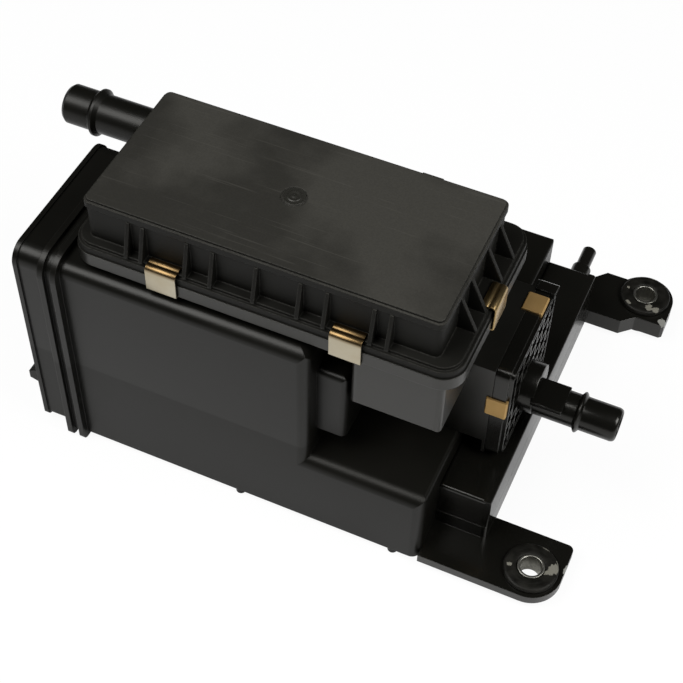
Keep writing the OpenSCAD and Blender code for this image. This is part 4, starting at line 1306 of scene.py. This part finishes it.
@dataclass
class CharcoalBeds:
    """The beds inside the case, with their screens, plates and springs."""

    shop: Workshop
    grain_finish: Fibrous = Fibrous(
        "charcoal", (0.004, 0.004, 0.004), (0.03, 0.03, 0.031), 0.7, 480.0, 0.0012)
    fleece_finish: Fibrous = Fibrous(
        "fleece", (0.32, 0.3, 0.26), (0.48, 0.46, 0.4), 0.9, 1400.0, 0.0004)
    plate_finish: Moulded = Moulded(
        "plate_plastic", (0.04, 0.04, 0.042), (0.055, 0.055, 0.057), (0.4, 0.5))
    spring_finish: Metal = Metal(
        "spring_steel", (0.56, 0.57, 0.58), (0.46, 0.47, 0.48), (0.2, 0.32), Axis.X)

    def build(self) -> None:
        """Puts the finishes on both beds."""
        finishes = {"bed": self.grain_finish, "screens": self.fleece_finish,
                    "plate": self.plate_finish, "springs": self.spring_finish}
        for side in ("front", "rear"):
            self.shop.dress(**{f"{side}_{piece}": finish for piece, finish in finishes.items()})


@dataclass(frozen=True)
class Softbox:
    """A square studio lamp: its place, the point it faces, its width and its power."""

    name: str
    place: Point
    target: Point
    width: float
    power: float

    def build(self) -> None:
        """Adds the lamp."""
        lamp = bpy.data.lights.new(self.name, "AREA")
        lamp.shape = "SQUARE"
        lamp.size = self.width
        lamp.energy = self.power
        lamp_object = bpy.data.objects.new(self.name, lamp)
        aim = Vector(self.target) - Vector(self.place)
        turn = aim.to_track_quat("-Z", "Y").to_matrix().to_4x4()
        lamp_object.matrix_world = Matrix.Translation(self.place) @ turn
        bpy.context.scene.collection.objects.link(lamp_object)


@dataclass
class Studio:
    """The white floor, the soft lamps, the dim surround and the camera; lengths in metres."""

    camera_place: Point = (0.05756, -0.46784, 0.6237)
    camera_azimuth: float = 22.76
    camera_elevation: float = 50.6
    camera_roll: float = 1.74
    lens: float = 79.13
    sensor: float = 36.0
    clip_start: float = 0.01
    floor_half: float = 4.0
    floor_drop: float = 0.0002
    floor_white: float = 0.9
    floor_roughness: float = 0.9
    floor_seen: float = 0.94
    floor_mirrored: float = 0.2
    surround: float = 0.03
    lamps: tuple[Softbox, ...] = (
        Softbox("left_softbox", (-0.55, -0.46, 1.07), (-0.14, 0.0, 0.08), 0.7, 13.0),
        Softbox("right_softbox", (0.72, -0.12, 0.95), (-0.12, 0.0, 0.08), 0.6, 11.0),
    )

    def build(self) -> None:
        """Builds the whole studio."""
        self.build_floor()
        self.build_world()
        self.build_camera()
        for lamp in self.lamps:
            lamp.build()
        bpy.context.scene.view_settings.view_transform = "Standard"

    def build_floor(self) -> None:
        """Adds the floor: nearly white to the eye, with a faint shadow, and a weak glow in reflections."""
        Modeller.select_only()
        bpy.ops.mesh.primitive_plane_add(size=2 * self.floor_half, location=(0.0, 0.0, -self.floor_drop))
        floor = bpy.context.object
        floor.name = "studio_floor"
        material, tree, shader = start_material("studio_white")
        tree.fill(shader, Base_Color=rgba((self.floor_white,) * 3), Roughness=self.floor_roughness)
        glow = tree.add("ShaderNodeEmission", Strength=1.0)
        path = tree.add("ShaderNodeLightPath").outputs
        mirrored = tree.math("MAXIMUM", path["Is Glossy Ray"], path["Is Transmission Ray"])
        seen = tree.math("MAXIMUM", tree.times(path["Is Camera Ray"], self.floor_seen),
                         tree.times(mirrored, self.floor_mirrored))
        blend = tree.add("ShaderNodeMixShader")
        for source, socket in zip((seen, shader.outputs[0], glow.outputs[0]), blend.inputs):
            tree.feed(source, socket)
        tree.fill(tree.tree.nodes["Material Output"], Surface=blend.outputs[0])
        floor.data.materials.append(material)

    def build_world(self) -> None:
        """Sets a dim surround, white only where the camera sees past the floor."""
        world = bpy.data.worlds.new("studio_surround")
        world.use_nodes = True
        bpy.context.scene.world = world
        tree = Tree(world.node_tree)
        seen = tree.add("ShaderNodeLightPath").outputs["Is Camera Ray"]
        tone = tree.mix_colour(seen, (self.surround,) * 3, (1.0, 1.0, 1.0))
        tree.fill(world.node_tree.nodes["Background"], Color=tone)

    def build_camera(self) -> None:
        """Adds the camera at the photograph's viewing angle."""
        lens = bpy.data.cameras.new("photo_camera")
        lens.lens = self.lens
        lens.sensor_width = self.sensor
        lens.clip_start = self.clip_start
        camera = bpy.data.objects.new("photo_camera", lens)
        azimuth, elevation = math.radians(self.camera_azimuth), math.radians(self.camera_elevation)
        turn = Euler((math.pi / 2 - elevation, 0.0, azimuth)).to_matrix().to_4x4()
        roll = Matrix.Rotation(math.radians(self.camera_roll), 4, "Z")
        camera.matrix_world = Matrix.Translation(self.camera_place) @ turn @ roll
        bpy.context.scene.collection.objects.link(camera)
        bpy.context.scene.camera = camera


FRONT_SCUFFS = (
    Scuff((10.3, -88.5, 11.2), (3.7, 2.5, 1.2), 68.0, 0.28),
    Scuff((7.9, -91.3, 11.2), (2.8, 1.2, 1.0), 38.0, 0.3),
    Scuff((10.7, -83.5, 11.1), (0.6, 2.6, 1.0), 24.0, 0.25),
    Scuff((-9.9, -94.3, 11.2), (1.2, 1.1, 1.0), 10.0, 0.5, 1100.0),
    Scuff((3.4, -79.1, 11.0), (1.9, 0.55, 1.0), -12.0, 0.6, 1200.0),
)
REAR_SCUFFS = (
    Scuff((4.4, 83.0, 16.6), (1.8, 2.6, 1.5), 10.0, 0.32),
    Scuff((8.0, 82.9, 16.5), (2.2, 1.8, 1.5), 12.0, 0.35),
    Scuff((-6.7, 82.2, 16.5), (1.9, 0.9, 1.5), -35.0, 0.35),
    Scuff((0.9, 103.9, 16.2), (1.7, 0.5, 1.2), 6.0, 0.4),
    Scuff((-9.9, 92.4, 16.5), (0.8, 1.0, 1.0), 0.0, 0.6, 1200.0),
)


def main() -> None:
    """Builds the dressed part and its studio."""
    logging.basicConfig(level=logging.INFO, format="%(name)s: %(message)s")
    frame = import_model()
    shop = Workshop(frame["nodes"])
    Studio().build()
    assemblies = (
        CaseAssembly(shop),
        BoltMount(shop, "front", bolt_y=-91.5, ear_top=8.7, bush_top=11.3, sleeve_top=12.0,
                  scuffs=FRONT_SCUFFS),
        BoltMount(shop, "rear", bolt_y=91.5, ear_top=13.6, bush_top=16.8, sleeve_top=16.9,
                  scuffs=REAR_SCUFFS),
        FilterBox(shop),
        LidClips(shop),
        VentCover(shop),
        CharcoalBeds(shop),
    )
    for assembly in assemblies:
        assembly.build()


if __name__ == "__main__":
    main()
